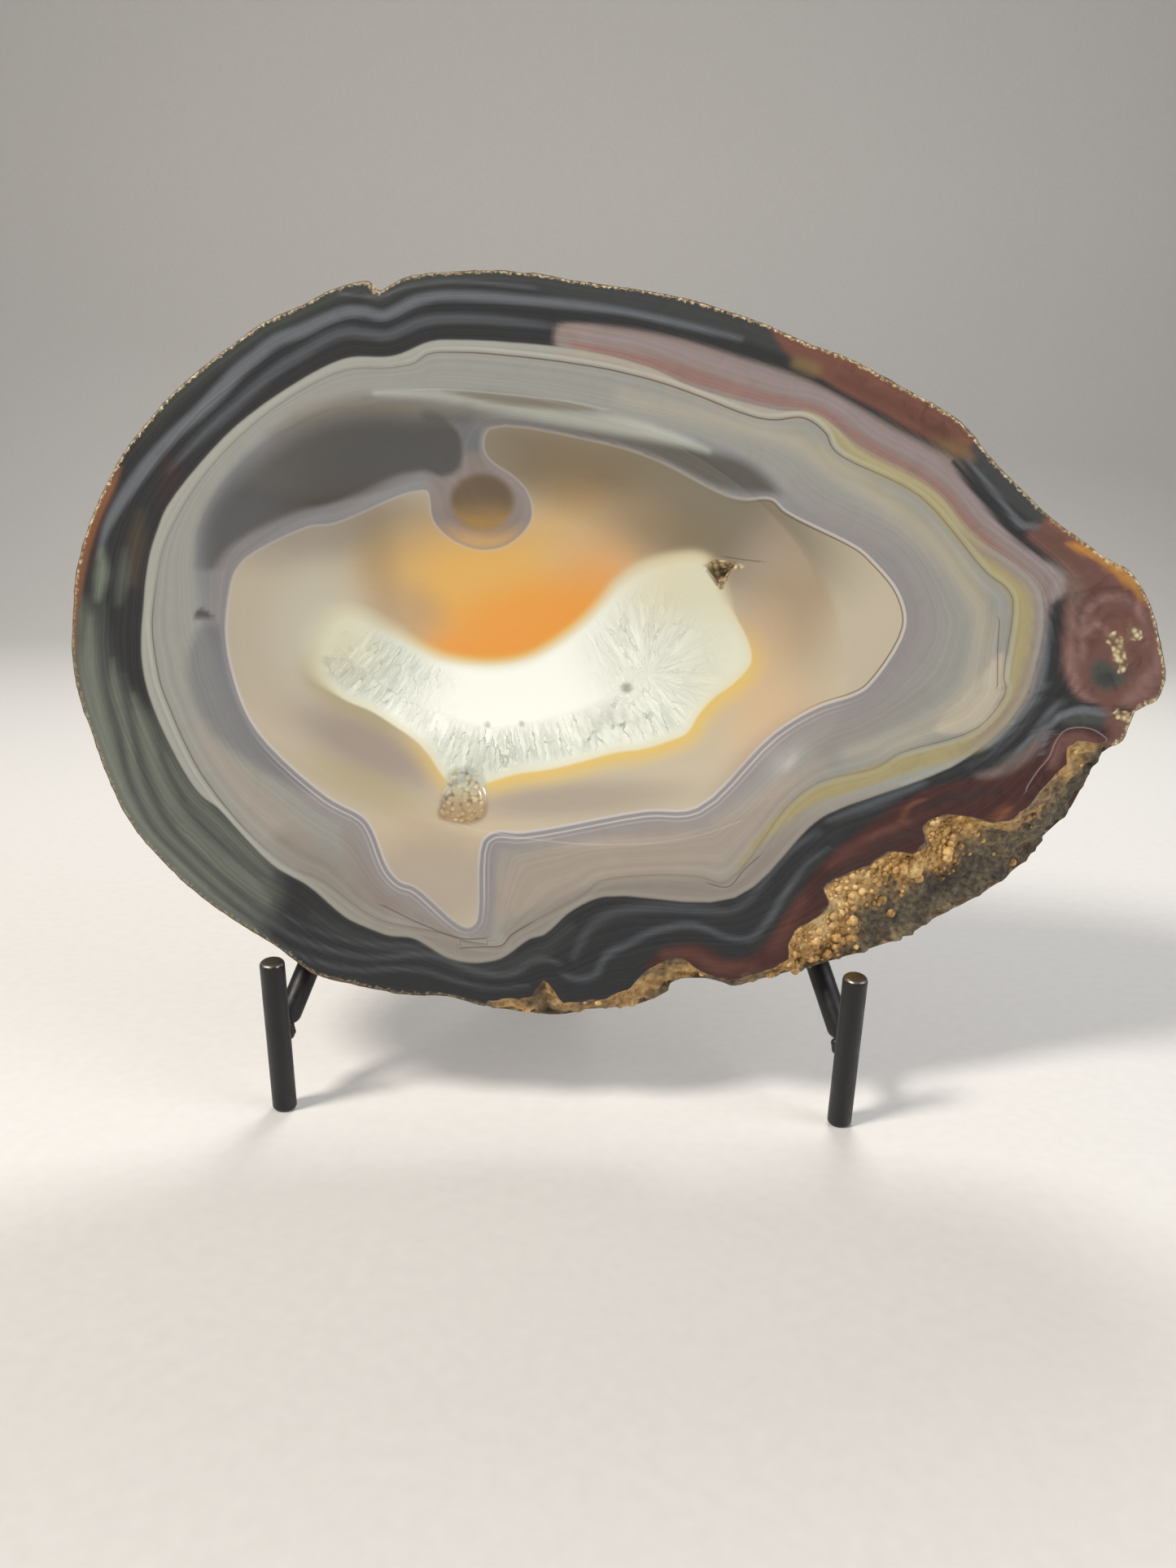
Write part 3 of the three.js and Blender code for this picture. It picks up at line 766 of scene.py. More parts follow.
# %% Outer bands: left and lower left
outer.lay("fern", 0.92 * patch([
    (-112, 7), (-107, 5), (-105, 1), (-103.5, -5), (-101, -10), (-97.5, -14), (-93.5, -18), (-90, -23),
    (-85, -30.5), (-77, -38.5), (-71, -44), (-68, -48.5), (-67, -53), (-69, -58), (-74, -63), (-86, -55),
    (-100, -41), (-110, -20),
], 3.0))
outer.ribbons([
    ("sage", 1, 0.8, [
        (-107.3, 3, 0.3), (-107.4, -4, 1.3), (-107, -10, 1.7), (-104.4, -20, 2), (-101, -30, 1.7),
        (-95.4, -39.5, 1.5), (-90, -45.4, 1.2), (-84.5, -50.2, 1.2), (-78, -55.4, 0.8), (-71.5, -60, 0.4),
    ]),
    ("sage", 0.95, 0.8, [
        (-102.5, -6, 0.2), (-101.9, -11, 0.7), (-99.3, -20, 0.8), (-96.8, -30, 0.8), (-91.3, -40, 0.8),
        (-86, -45, 0.9), (-80.2, -50.3, 0.9), (-75, -54.4, 0.5), (-70.5, -57.5, 0.3),
    ]),
    ("sage", 0.9, 0.9, [
        (-98, -13, 0.3), (-95.6, -20, 1), (-92.3, -30, 1.2), (-87, -39, 1.5), (-80, -45.6, 1.7),
        (-73.5, -50.5, 1.5), (-69.5, -54, 0.6),
    ]),
    ("reed", 0.4, 0.6, [
        (-107, -6, 0.1), (-104.8, -17, 0.4), (-101.4, -28, 0.4), (-96, -38, 0.4), (-89.5, -45, 0.3),
        (-82, -51.6, 0.2),
    ]),
    ("sage", 0.6, 1, [
        (-91, -25, 0.4), (-87.3, -31, 0.8), (-80.5, -38, 1), (-73.5, -44.3, 0.8), (-69, -48.5, 0.3),
    ]),
    ("bronze", 0.3, 0.7, [(-110, -3, 0.5), (-108.8, -14, 0.5), (-105.3, -25, 0.5), (-100.5, -34.5, 0.4)]),
    ("charcoal", 0.75, 0.8, [
        (-104.6, 5, 0.9), (-104.5, 0, 0.7), (-104.2, -7, 0.5), (-103, -14, 0.4), (-100.9, -20.5, 0.4),
        (-98.6, -30, 0.4), (-93.3, -40, 0.4), (-87.5, -45.5, 0.4), (-82, -50.6, 0.4), (-76, -55.5, 0.4),
        (-69, -60.8, 0.5),
    ]),
    ("charcoal", 0.75, 0.8, [
        (-100, -9, 0.6), (-99.4, -14, 0.5), (-98, -20, 0.4), (-95, -30, 0.4), (-89.2, -40, 0.4),
        (-83.5, -45.7, 0.4), (-78, -50.6, 0.4), (-71.5, -55.6, 0.4), (-66, -59, 0.6),
    ]),
    ("charcoal", 0.7, 0.7, [
        (-93, -21, 0.2), (-90, -29, 0.4), (-84.3, -38, 0.4), (-77.5, -44.3, 0.4), (-71, -49.2, 0.3),
    ]),
    ("soot", 0.95, 1.1, [
        (-98.8, 9, 0.5), (-99, 1, 1.3), (-98.2, -5, 1.3), (-97, -10, 0.9), (-94.8, -15, 0.2),
    ]),
    ("reed", 0.75, 1.4, [(-105.3, 16.5, 0.3), (-105.2, 12, 1.2), (-105.8, 7, 0.6)]),
    ("fern", 0.7, 1.6, [(-100.6, 16.5, 0.3), (-100.8, 11.5, 1.3), (-101.6, 6, 0.4)]),
    ("wine", 0.5, 1, [(-104.6, 26, 0.1), (-106.6, 19, 0.7), (-107.5, 12, 0.2)]),
    ("rust", 0.85, 0.9, [
        (-102, 33.5, 0.1), (-104, 29.7, 1.1), (-107, 23.7, 1.4), (-109, 17, 1.3), (-110.2, 10, 1.2),
        (-110.7, 3, 0.7), (-110.6, -4, 0.2),
    ]),
])

# %% [markdown]
# At the bottom the bands are black with fine grey lines, and one brighter slate line curls around a bump of
# the old hollow before it climbs to the right. Beside the broken corner the stone is wine red.

# %% Outer bands: bottom and lower right
outer.lay("wine", 0.95 * patch([
    (8, -65.5), (11, -62.3), (17, -60.6), (21, -61.8), (24, -63.4), (29, -62.6), (32.5, -59), (35, -55),
    (38.5, -50), (41.5, -45.5), (46, -40.5), (52, -35.8), (58, -31.3), (64, -28), (70, -26.2), (76, -24.6),
    (81, -22), (85, -18.5), (88.5, -16.8), (93, -14.8), (98, -15.5), (103, -17), (100, -24), (92, -32),
    (82, -40), (62, -47), (48, -54), (38, -64), (28, -69), (20, -70), (12, -68),
], 0.8))
outer.ribbons([
    ("charcoal", 0.7, 1.6, [
        (-60, -57, 0.6), (-48, -62, 0.8), (-36, -64, 0.8), (-26, -67, 1), (-14, -63, 1.2), (-8, -58, 1),
    ]),
    ("lead", 0.75, 0.6, [
        (-73, -55.6, 0.3), (-66, -60.2, 0.4), (-60, -62.7, 0.4), (-54, -64.2, 0.4), (-49, -65, 0.4),
        (-44, -64.9, 0.4), (-39, -64.1, 0.5), (-34, -64.6, 0.5), (-29.3, -66.4, 0.5), (-25.4, -67.5, 0.5),
        (-21.5, -67.9, 0.5), (-18, -67, 0.5), (-15.7, -65.2, 0.4), (-12.5, -64.5, 0.4), (-9.5, -65.3, 0.2),
    ]),
    ("lead", 0.7, 0.5, [
        (-71.5, -60, 0.3), (-64, -64.4, 0.3), (-56, -66.9, 0.4), (-50, -67.7, 0.4), (-44, -67.2, 0.4),
        (-38, -67.3, 0.4), (-32, -68.9, 0.4), (-24, -70.6, 0.3), (-16, -70, 0.2),
    ]),
    ("lead", 0.6, 0.5, [
        (-66, -57, 0.2), (-58, -60.3, 0.3), (-50, -62.2, 0.3), (-43, -62.4, 0.3), (-36, -62.2, 0.2),
    ]),
    ("lead", 0.7, 1.1, [
        (-7, -64, 0.3), (-5.4, -60.4, 0.6), (-3.5, -57.5, 0.7), (0, -55.1, 0.8), (6, -53.7, 0.9),
        (13, -53.5, 0.9), (20, -53.8, 0.8), (25, -53.6, 0.6), (29, -50.6, 0.6), (32.5, -45.6, 0.6),
        (36.5, -41, 0.6), (42, -37.4, 0.4),
    ]),
    ("lead", 1, 0.8, [
        (-9.2, -67.4, 0.1), (-7.4, -68.1, 0.4), (-4.6, -68.2, 0.5), (-2.2, -67, 0.5), (-1.2, -64.8, 0.5),
        (0.4, -62.8, 0.7), (3.8, -61.1, 0.6), (7.7, -58.9, 0.6), (12.2, -57.4, 0.6), (16.7, -56.8, 0.6),
        (20.7, -57.8, 0.5), (23.5, -59, 0.5), (28.6, -59.1, 0.5), (32, -55.9, 0.6), (34.7, -51.3, 0.6),
        (37, -47.6, 0.5), (40, -43.6, 0.4), (44, -40.6, 0.2),
    ]),
    ("soot", 0.6, 0.5, [
        (-2.2, -62, 0.2), (1, -59.2, 0.4), (6, -56.7, 0.4), (12, -55.3, 0.4), (18, -55.2, 0.4),
        (23, -56.8, 0.4), (27.5, -56.6, 0.4), (31, -52, 0.4), (34.5, -46.6, 0.4),
    ]),
    ("lead", 0.8, 0.9, [(44, -35, 0.4), (52, -31.7, 1), (58, -29, 0.9), (63, -26.8, 0.5)]),
    ("brick", 0.55, 1.4, [(11.5, -62.8, 0.8), (17, -62.6, 0.9), (22, -65, 1.1), (29, -65, 0.8)]),
    ("brick", 0.5, 1.6, [(33.5, -61, 1), (36.5, -56, 1.2), (39, -51.5, 0.8)]),
    ("brick", 0.45, 1.2, [(44, -44, 0.6), (52, -38.5, 0.9), (60, -35, 0.8)]),
    ("soot", 0.4, 1.8, [(50, -43.5, 0.8), (57, -39, 1.2), (62.5, -36.5, 1)]),
    ("soot", 0.4, 1.5, [(42, -49, 0.8), (46, -45.5, 1.2), (50, -44, 0.8)]),
    ("soot", 0.5, 1.2, [(62, -32, 0.6), (70, -29.5, 1), (78, -28, 0.6)]),
    ("rust", 0.7, 0.5, [(58.3, -34.8, 0.2), (60.5, -31.3, 0.35), (63, -30.2, 0.2)]),
    ("rust", 0.8, 1.2, [(78, -34, 0.9), (79.5, -32, 0.8)]),
    ("mauve", 0.5, 1, [(74, -25.2, 0.5), (79, -23.6, 1.2), (84, -19.9, 1.2), (87.3, -16, 0.9)]),
    ("clay", 0.95, 0.8, [
        (88.5, -23, 0.8), (90.5, -18.5, 1.5), (95, -17.3, 1.5), (99.3, -18.6, 1.2), (102.4, -15.5, 1.4),
    ]),
])

# %% [markdown]
# Along the top right the bands turn lilac and rose, then brick red at the rim. The black bands come back
# for a short way, and the tip is clay-coloured, with faint swirls around a grey-green spot.

# %% Outer bands: upper right and tip
outer.lay("mauve", patch([
    (-13, 64.4), (-13.5, 60), (-9, 57.5), (6, 54), (14, 50.5), (31.5, 46), (39, 45.5), (44, 42),
    (48, 38.5), (64, 30), (71, 22), (84, 10), (91, 12.5), (90, 17), (84.5, 20.5), (79, 25.5), (73, 32),
    (68.5, 38), (62, 41.5), (55, 45), (48, 49), (42, 52.3), (34, 55.5), (24, 58.5), (12, 62), (0, 64),
], 1.0))
outer.lay("brick", patch([
    (29, 68), (32.5, 60.5), (38, 56.5), (41, 53.6), (46, 51.2), (52, 48.3), (57, 45.4), (63, 42.3),
    (69, 39.2), (72, 38.8), (73.5, 41.2), (77, 42), (68, 54), (48, 64),
], 0.8))
outer.lay("clay", patch([
    (82.5, 23.5), (85, 26.3), (89, 29), (96, 24.5), (105, 19), (113, 8), (115, -5), (110, -13),
    (103.5, -17), (99.3, -15), (98.3, -10.8), (94, -9.3), (91.3, -5.5), (90, 0), (90.3, 8), (90.8, 13),
    (90, 16.8), (86, 20),
], 1.0))
straw_band = [
    (26, -45, 0.2), (30, -39.5, 0.7), (35, -34.5, 1.2), (40, -30.6, 1.5), (47, -27.6, 1.8),
    (55, -24.7, 1.8), (62, -22.2, 1.8), (70, -19.8, 1.8), (76, -16.3, 1.8), (80.4, -10.5, 1.9),
    (81.9, -5, 2.2), (82.4, 2, 2.4), (82.2, 8.5, 2.3), (81.1, 12.3, 2.1), (78.6, 14.9, 1.9),
    (75.1, 17.9, 1.8), (71.5, 21.9, 1.8), (67.8, 25.9, 1.8), (64.2, 29.9, 1.8), (60.5, 32.9, 1.7),
    (56.4, 35.1, 1.6), (51.3, 37.4, 1.5), (46.5, 40.2, 1.3), (43.5, 43.3, 1), (40.5, 46.4, 0.6),
    (37, 48, 0.3),
]
outer.ribbons([
    ("straw", 0.95, 0.9, straw_band),
    ("lilac", 0.8, 0.9, [
        (-8, 62.2, 0.8), (5, 61, 1), (15, 58.7, 1.1), (25, 55.8, 1.2), (35, 52.6, 1.3), (42, 49.6, 1.3),
        (48, 46, 1.3), (55, 42.3, 1.4), (62, 38.7, 1.3), (68, 34, 1.2), (74, 27.7, 1.1), (80, 22, 1.1),
        (86, 17.5, 1.1), (89, 14.8, 0.9), (87, 10, 0.7), (86, 3, 0.5),
    ]),
    ("rose", 0.9, 0.8, [
        (-10, 60.5, 0.6), (0, 58.3, 1.1), (10, 56, 1.3), (20, 53, 1.3), (28, 50.6, 1.1), (36, 49.2, 0.9),
        (41, 47.6, 1), (46, 44, 1.1), (52, 40.3, 1), (60, 36, 0.9), (66, 31.5, 1), (70, 27, 1.1),
        (74, 22.8, 1), (78, 19.3, 0.8), (82, 16.3, 0.4),
    ]),
    ("soot", 1, 0.5, [
        (-13, 66.3, 1.2), (0, 65.6, 1), (10, 63.6, 0.9), (20, 61.1, 0.9), (28, 58.9, 0.9), (34, 56.8, 0.8),
        (38, 55.1, 0.7), (42, 52.9, 0.5), (46, 50.6, 0.35), (52, 47.7, 0.25),
    ]),
    ("bronze", 0.85, 1.2, [(35.5, 57.6, 1.2), (39, 56.4, 1.4)]),
    ("rust", 0.75, 0.8, [(32.5, 64.5, 0.5), (40, 61.3, 0.8), (47, 58.2, 0.8), (53, 55.5, 0.4)]),
    ("wine", 0.35, 1.4, [(44, 54.6, 0.6), (52, 51, 0.9), (60, 47, 0.8), (68, 42, 0.4)]),
    ("bronze", 0.7, 1.6, [(64, 42.4, 0.6), (68, 40.6, 1.4), (71.5, 39.3, 0.6)]),
    ("charcoal", 0.9, 0.7, [(72, 41, 1.2), (76, 36.5, 2.2), (80.5, 31.5, 2.2), (84.5, 27.7, 1.5)]),
    ("slate", 0.8, 0.5, [
        (70.3, 38.8, 0.4), (72.8, 35.8, 0.5), (76, 32, 0.5), (79, 28.4, 0.5), (81.3, 25.8, 0.8),
        (84.5, 25.4, 0.6),
    ]),
    ("soot", 1, 0.45, [
        (67.5, 38.2, 0.5), (70, 35.3, 0.9), (74, 30.7, 1), (78, 26.2, 1), (82, 22.3, 0.8), (86, 19.4, 0.5),
        (90, 16.8, 0.3),
    ]),
    ("slate", 0.9, 0.9, [
        (86.6, 8, 0.5), (86.4, 2, 1.3), (85.8, -4, 1.4), (84, -9.5, 1.1), (80.5, -14.5, 0.9),
        (76, -19, 0.6),
    ]),
    ("slate", 0.85, 0.6, [
        (91, -9.2, 0.2), (88.6, -11.4, 0.5), (86.2, -14.8, 0.6), (82.8, -18.8, 0.6), (77, -22.2, 0.4),
    ]),
    ("mist", 0.6, 0.6, [(85.4, -8, 0.3), (82.6, -12.8, 0.5), (78.8, -16.6, 0.5), (74, -20, 0.3)]),
    ("mauve", 0.7, 0.8, [
        (87, 12, 0.5), (86.4, 8, 0.7), (85.6, 3, 0.8), (85, -3, 0.6), (83.8, -8, 0.4), (81, -12.5, 0.2),
    ]),
    ("soot", 0.95, 0.7, [
        (89.8, 10, 0.3), (89, 4, 0.7), (88.4, -2, 1.1), (87.3, -8, 1.4), (84.5, -13, 1.7),
        (81, -17.5, 1.7), (77, -21.3, 1.3), (71, -24.4, 0.6),
    ]),
    ("lead", 0.6, 0.6, [
        (87.4, -6, 0.2), (85.2, -11, 0.4), (81.5, -16, 0.5), (77, -20.2, 0.4), (71.5, -23.6, 0.2),
    ]),
    ("moss", 0.9, 0.8, [(91, -13.8, 0.6), (94.5, -13.2, 1.3), (98, -13.6, 1)]),
    ("soot", 0.9, 0.5, [(89.3, -4, 0.5), (90.7, -8, 0.9), (94, -10.3, 0.7), (97.5, -10.7, 0.3)]),
    ("slate", 0.95, 0.4, [
        (98.7, -12.2, 0.7), (95, -11.4, 0.8), (91.5, -12.1, 0.7), (88.8, -14, 0.5), (87.3, -17.5, 0.35),
        (86.5, -20.5, 0.2),
    ]),
    ("brick", 0.6, 2.6, [(96, 4, 1.5), (100, 3, 2.5), (104, 6, 1.5)]),
    ("taupe", 0.3, 2.4, [(89, 17, 1.2), (92.6, 12, 1.6), (93, 5, 1), (92.5, -2, 0.8)]),
    ("rose", 0.9, 0.8, [
        (91.9, 9, 0.2), (92.4, 3, 0.5), (92, -3, 0.6), (93.2, -7.2, 0.6), (96.6, -9.6, 0.3),
    ]),
    ("rose", 0.85, 0.8, [
        (94.8, -1, 0.2), (94.2, 4, 0.4), (95, 8.4, 0.5), (98.4, 11.2, 0.5), (102.6, 11.2, 0.5),
        (106, 8, 0.4), (107.4, 3, 0.2),
    ]),
    ("rose", 1, 0.8, [(94.9, 4.2, 0.3), (96.4, 5.8, 0.8), (98.4, 5.2, 0.4), (98.2, 3.4, 0.2)]),
    ("wine", 0.75, 0.8, [
        (93.4, 0.5, 0.2), (93, 6, 0.3), (94.6, 10.8, 0.4), (98.6, 13.4, 0.3), (103.6, 12.8, 0.2),
    ]),
    ("wine", 0.6, 0.8, [
        (96.2, -0.8, 0.2), (96.4, 2, 0.3), (97.6, 3, 0.3), (99, 7.6, 0.3), (103.4, 8, 0.2),
    ]),
    ("umber", 0.45, 1.6, [(84.6, 24.6, 0.6), (88, 22, 1.3), (92, 18.5, 1), (95, 15, 0.4)]),
    ("rust", 0.7, 0.8, [(86.6, 27, 0.3), (90.4, 25, 0.9), (94, 22.6, 0.4)]),
    ("rose", 0.6, 1, [(103, -9.5, 0.9), (106.8, -6.5, 1.5), (109.3, -2, 1.2), (109.8, 4, 0.7)]),
    ("gold", 0.95, 0.6, [
        (91, 22, 0.4), (93.5, 21.2, 1), (96.5, 19.7, 0.7), (99, 18.2, 1), (102, 16.2, 1.3),
        (104.8, 13.5, 1), (106.8, 10.5, 0.4),
    ]),
    ("amber", 0.5, 0.5, [(99.5, 18.6, 0.2), (102.5, 17, 0.5), (105.2, 14, 0.2)]),
])
outer.lay("moss", 0.95 * patch([
    (95.9, -2.6), (97.6, -1.2), (99.4, -1.6), (101, -2.8), (103.2, -3.6), (103, -5.4), (101, -6.8),
    (98.4, -7.2), (96.4, -5.8),
], 0.9))
outer.lay("soot", 0.6 * spot(98.9, -5, 1.8, 1.3, 0, 0.6))
print("outer bands painted")

# %% [markdown]
# Milky chalcedony scatters light, so these bands are pale. They run from grey-green at the upper left
# through a thin straw band at the right, where a little iron reached them, to beige and taupe below.

# %% Milky bands
milky = Coat("pearl")
milky.stripe("cloud", 0.9, 1.9, 0.1, 0.6)
milky.stripe("mist", 1.9, 2.2, 0.1, 0.25, spot(-70, 30, 40, 40))
milky.lay("beige", 0.55 * spot(4, -45, 46, 12, 8, 0.5))
milky.stripe("taupe", 0.9, 2.0, 0.1, 0.85, spot(0, -56, 62, 20, 8, 0.4))
milky.ribbons([
    ("beige", 0.6, 2.6, [(-84, -20, 1), (-77, -29, 2.5), (-70, -36, 3.5), (-63, -42, 3)]),
    ("taupe", 0.85, 2.4, [(-66, -42, 2.5), (-60, -46, 3.5), (-52, -51, 3.5), (-46, -54, 2.5)]),
    ("beige", 0.9, 2.4, [
        (-20, -52, 4), (-10, -46, 4.5), (3, -43.5, 3.8), (18, -41.5, 3.8), (27, -36, 2.8), (34, -29.5, 2),
        (42, -24, 1),
    ]),
    ("taupe", 0.7, 1.2, [
        (-20, -59, 1.5), (-8, -52.3, 1.6), (4, -49.6, 1.3), (16, -49.3, 1.1), (24, -49, 0.8),
    ]),
    ("mauve", 0.7, 2, [(-54, -40, 0.8), (-50, -46, 2), (-46, -52, 2), (-38, -57, 1.6), (-31, -60, 0.8)]),
    ("cream", 0.4, 2.4, [
        (0, 50, 1), (20, 45.5, 1.5), (35, 41.5, 1.8), (45, 35.5, 2.2), (56, 28, 2.2), (64, 21.5, 2.2),
        (70, 14.5, 2.2), (73.5, 7, 2), (73.5, -2, 2), (69, -11, 2), (60, -17.5, 2), (48, -21, 1.5),
    ]),
    ("lavender", 0.55, 2, [
        (36, 33, 0.8), (44, 28, 1.2), (54, 23, 1.5), (61.5, 15, 1.6), (64, 6, 1.8), (61.5, -2, 2),
        (55, -9, 2), (45, -15, 2), (34, -23, 2), (25, -31, 1.8), (18, -37, 1.2),
    ]),
    ("mauve", 0.3, 2.2, [(62, -9, 1.5), (52, -15, 2), (42, -20.5, 1.6)]),
    ("mauve", 0.6, 1, [(-7, -38.9, 0.2), (0, -38.2, 1), (8, -37.8, 1.3), (14, -37.2, 1), (19.5, -36, 0.2)]),
    ("beige", 0.8, 0.6, [
        (-14, 58.5, 0.3), (-6, 58, 0.8), (6, 54.7, 1), (14, 51.7, 0.9), (24, 48.5, 0.7), (31.5, 47, 0.7),
        (38.5, 46.8, 0.7),
    ]),
    ("straw", 0.3, 2, [
        (35, 44, 0.6), (42, 38.6, 1.2), (50, 34, 1.4), (58, 28, 1.4), (66, 20, 1.4), (73, 11, 1.4),
        (76, 3, 1),
    ]),
    ("straw", 0.95, 0.9, straw_band),
    ("mauve", 0.75, 0.9, [
        (24, -50.4, 0.2), (30, -45.4, 0.4), (36, -39, 0.5), (42, -34.2, 0.5), (48, -31.2, 0.4),
        (58, -27.6, 0.3),
    ]),
])
beyond_straw = soft_step(-0.6, 0.6, inside[1]) * (1 - soft_step(1.6, 2.8, inside[1]))
milky.lay("mauve", 0.7 * beyond_straw * spot(86, 2, 22, 30, 0, 0.3))
milky.lay("cream", 0.75 * patch([(78.5, 0), (78.3, -8.5), (75, -14.5), (68, -17), (65, -16), (71, -9)], 0.6))
milky.stripe("mist", 3.0, 4.2, 0.08, 0.9)
milky.stripe("lavender", 3.0, 4.2, 0.1, 0.7, spot(20, -18, 60, 34, 0, 0.3))
print("milky bands painted")

# %% [markdown]
# Between the milk and the core lies a clear layer. Over the upper left it is thick and looks like smoked
# glass, darkest in a round lobe above the eye. It thins to a band above the core, which is painted dark as
# shade on the dish's upper wall, where it faces down. Under the dish's upper edge a pale green crescent with
# a brown sliver in it is a painted reflection on that wall. Close to the core everything turns lavender, as
# the finest layers do when they scatter blue light.

# %% The clear layer
clear = (band > 2.6) & (inside[4] < 0)
lens_shape = patch([
    (-33.4, 43.4), (-32.8, 40), (-33.3, 37.3), (-35.2, 35.8), (-38.5, 35.2), (-41.5, 35.8), (-44.5, 34.6),
    (-50, 32.4), (-56, 30.3), (-63, 27.8), (-70, 25), (-75, 22), (-79, 18.5), (-81.5, 14), (-90, 14),
    (-92, 28), (-80, 44), (-64, 52), (-48, 52), (-36, 45.6),
], 0.8)
lens_fade = patch([
    (-83.5, 12), (-84.5, 19), (-83, 25), (-78, 32), (-72, 37.6), (-66, 41.6), (-59, 44.4), (-50, 45.6),
    (-42, 45.4), (-28, 46), (-24, 30), (-50, 14), (-72, 8),
], 3.2)
lens = lens_shape * lens_fade
# The dusk ribbon below is painted shade on the dish's upper wall, which faces down.
milky.ribbons([
    ("olive", 0.7, 2.6, [
        (-70, 41, 0.8), (-64, 44.6, 1.6), (-56, 46.6, 2), (-46, 47, 2), (-38, 46.8, 1.4), (-28, 46.4, 0.8),
    ]),
    ("dusk", 0.95, 1.5, [
        (-40, 46, 0.6), (-30, 45.6, 0.7), (-20.4, 44.5, 1), (-13, 43.6, 1.2), (-5.7, 42.6, 1.4),
        (4, 40.3, 1.8), (13.7, 37.7, 2.6), (19, 35.9, 3.1), (24.5, 34.3, 3), (29, 32.4, 1.8),
        (32, 31.2, 0.4),
    ]),
])
milky.lay("dusk", lens)
milky.lay("smoke", lens * 0.95 * spot(-46, 39, 20, 10, 10, 0.6))
milky.lay("slate", lens * 0.5 * spot(-79, 23, 12, 9, 50, 0.7))
milky.lay("wine", lens * 0.18 * spot(-58, 29, 12, 3, 20, 0.7))
# The frost crescent and the olive sliver in it are a painted reflection on the dish's upper wall, just below
# its edge.
milky.ribbons([
    ("frost", 0.54, 1, [
        (-50, 49.8, 0.3), (-42, 49.9, 0.6), (-34, 49.5, 0.9), (-26, 48.4, 1.1), (-18, 47.2, 1.1),
        (-8, 45.6, 1.3), (0, 44.4, 1.5), (7, 42.9, 1.3), (13, 41.2, 0.9), (18, 39.4, 0.3),
    ]),
    ("olive", 0.8, 0.4, [
        (-36, 50.5, 0.1), (-31, 50.1, 0.5), (-25, 49.4, 0.7), (-18, 48.7, 0.7), (-11, 48, 0.6),
        (-5, 47.2, 0.1),
    ]),
])
over_core = spot(6, 40, 34, 9, -14, 0.3)
glow = soft_step(-4.4, -2.6, inside[4]) * (1 - over_core)
glow = np.maximum(glow, 0.7 * soft_step(-0.9, -0.3, inside[4])) * clear
milky.lay("lavender", glow * (0.85 - 0.35 * spot(-50, 38, 40, 18, 14, 0.3)))
milky.lay("mist", 0.6 * glow * spot(-38, 38, 14, 10, 0, 0.4))
off_white_line = 1 - soft_step(-1.2, -0.2, inside[4])
milky.lay("slate", 0.85 * (1 - lens) * clear * spot(-31.5, 40, 4.4, 6.5, 0, 0.5) * off_white_line)
milky.lay("slate", 0.6 * off_white_line * patch([
    (-79.5, 1.5), (-84.5, 1.5), (-86.8, -4), (-86.6, -10), (-84, -16.5), (-79.6, -21.8), (-74, -26),
    (-67.5, -29.4), (-61.5, -31.5), (-70, -21), (-76, -10),
], 1.5))
left_mark = patch([(-86, 3.2), (-85.2, 5.2), (-83.8, 4.8), (-82.4, 3.4), (-84, 3.2)], 0.35)
milky.lay("smoke", 0.85 * left_mark)
print("clear layer painted,", int(clear.sum()), "points")
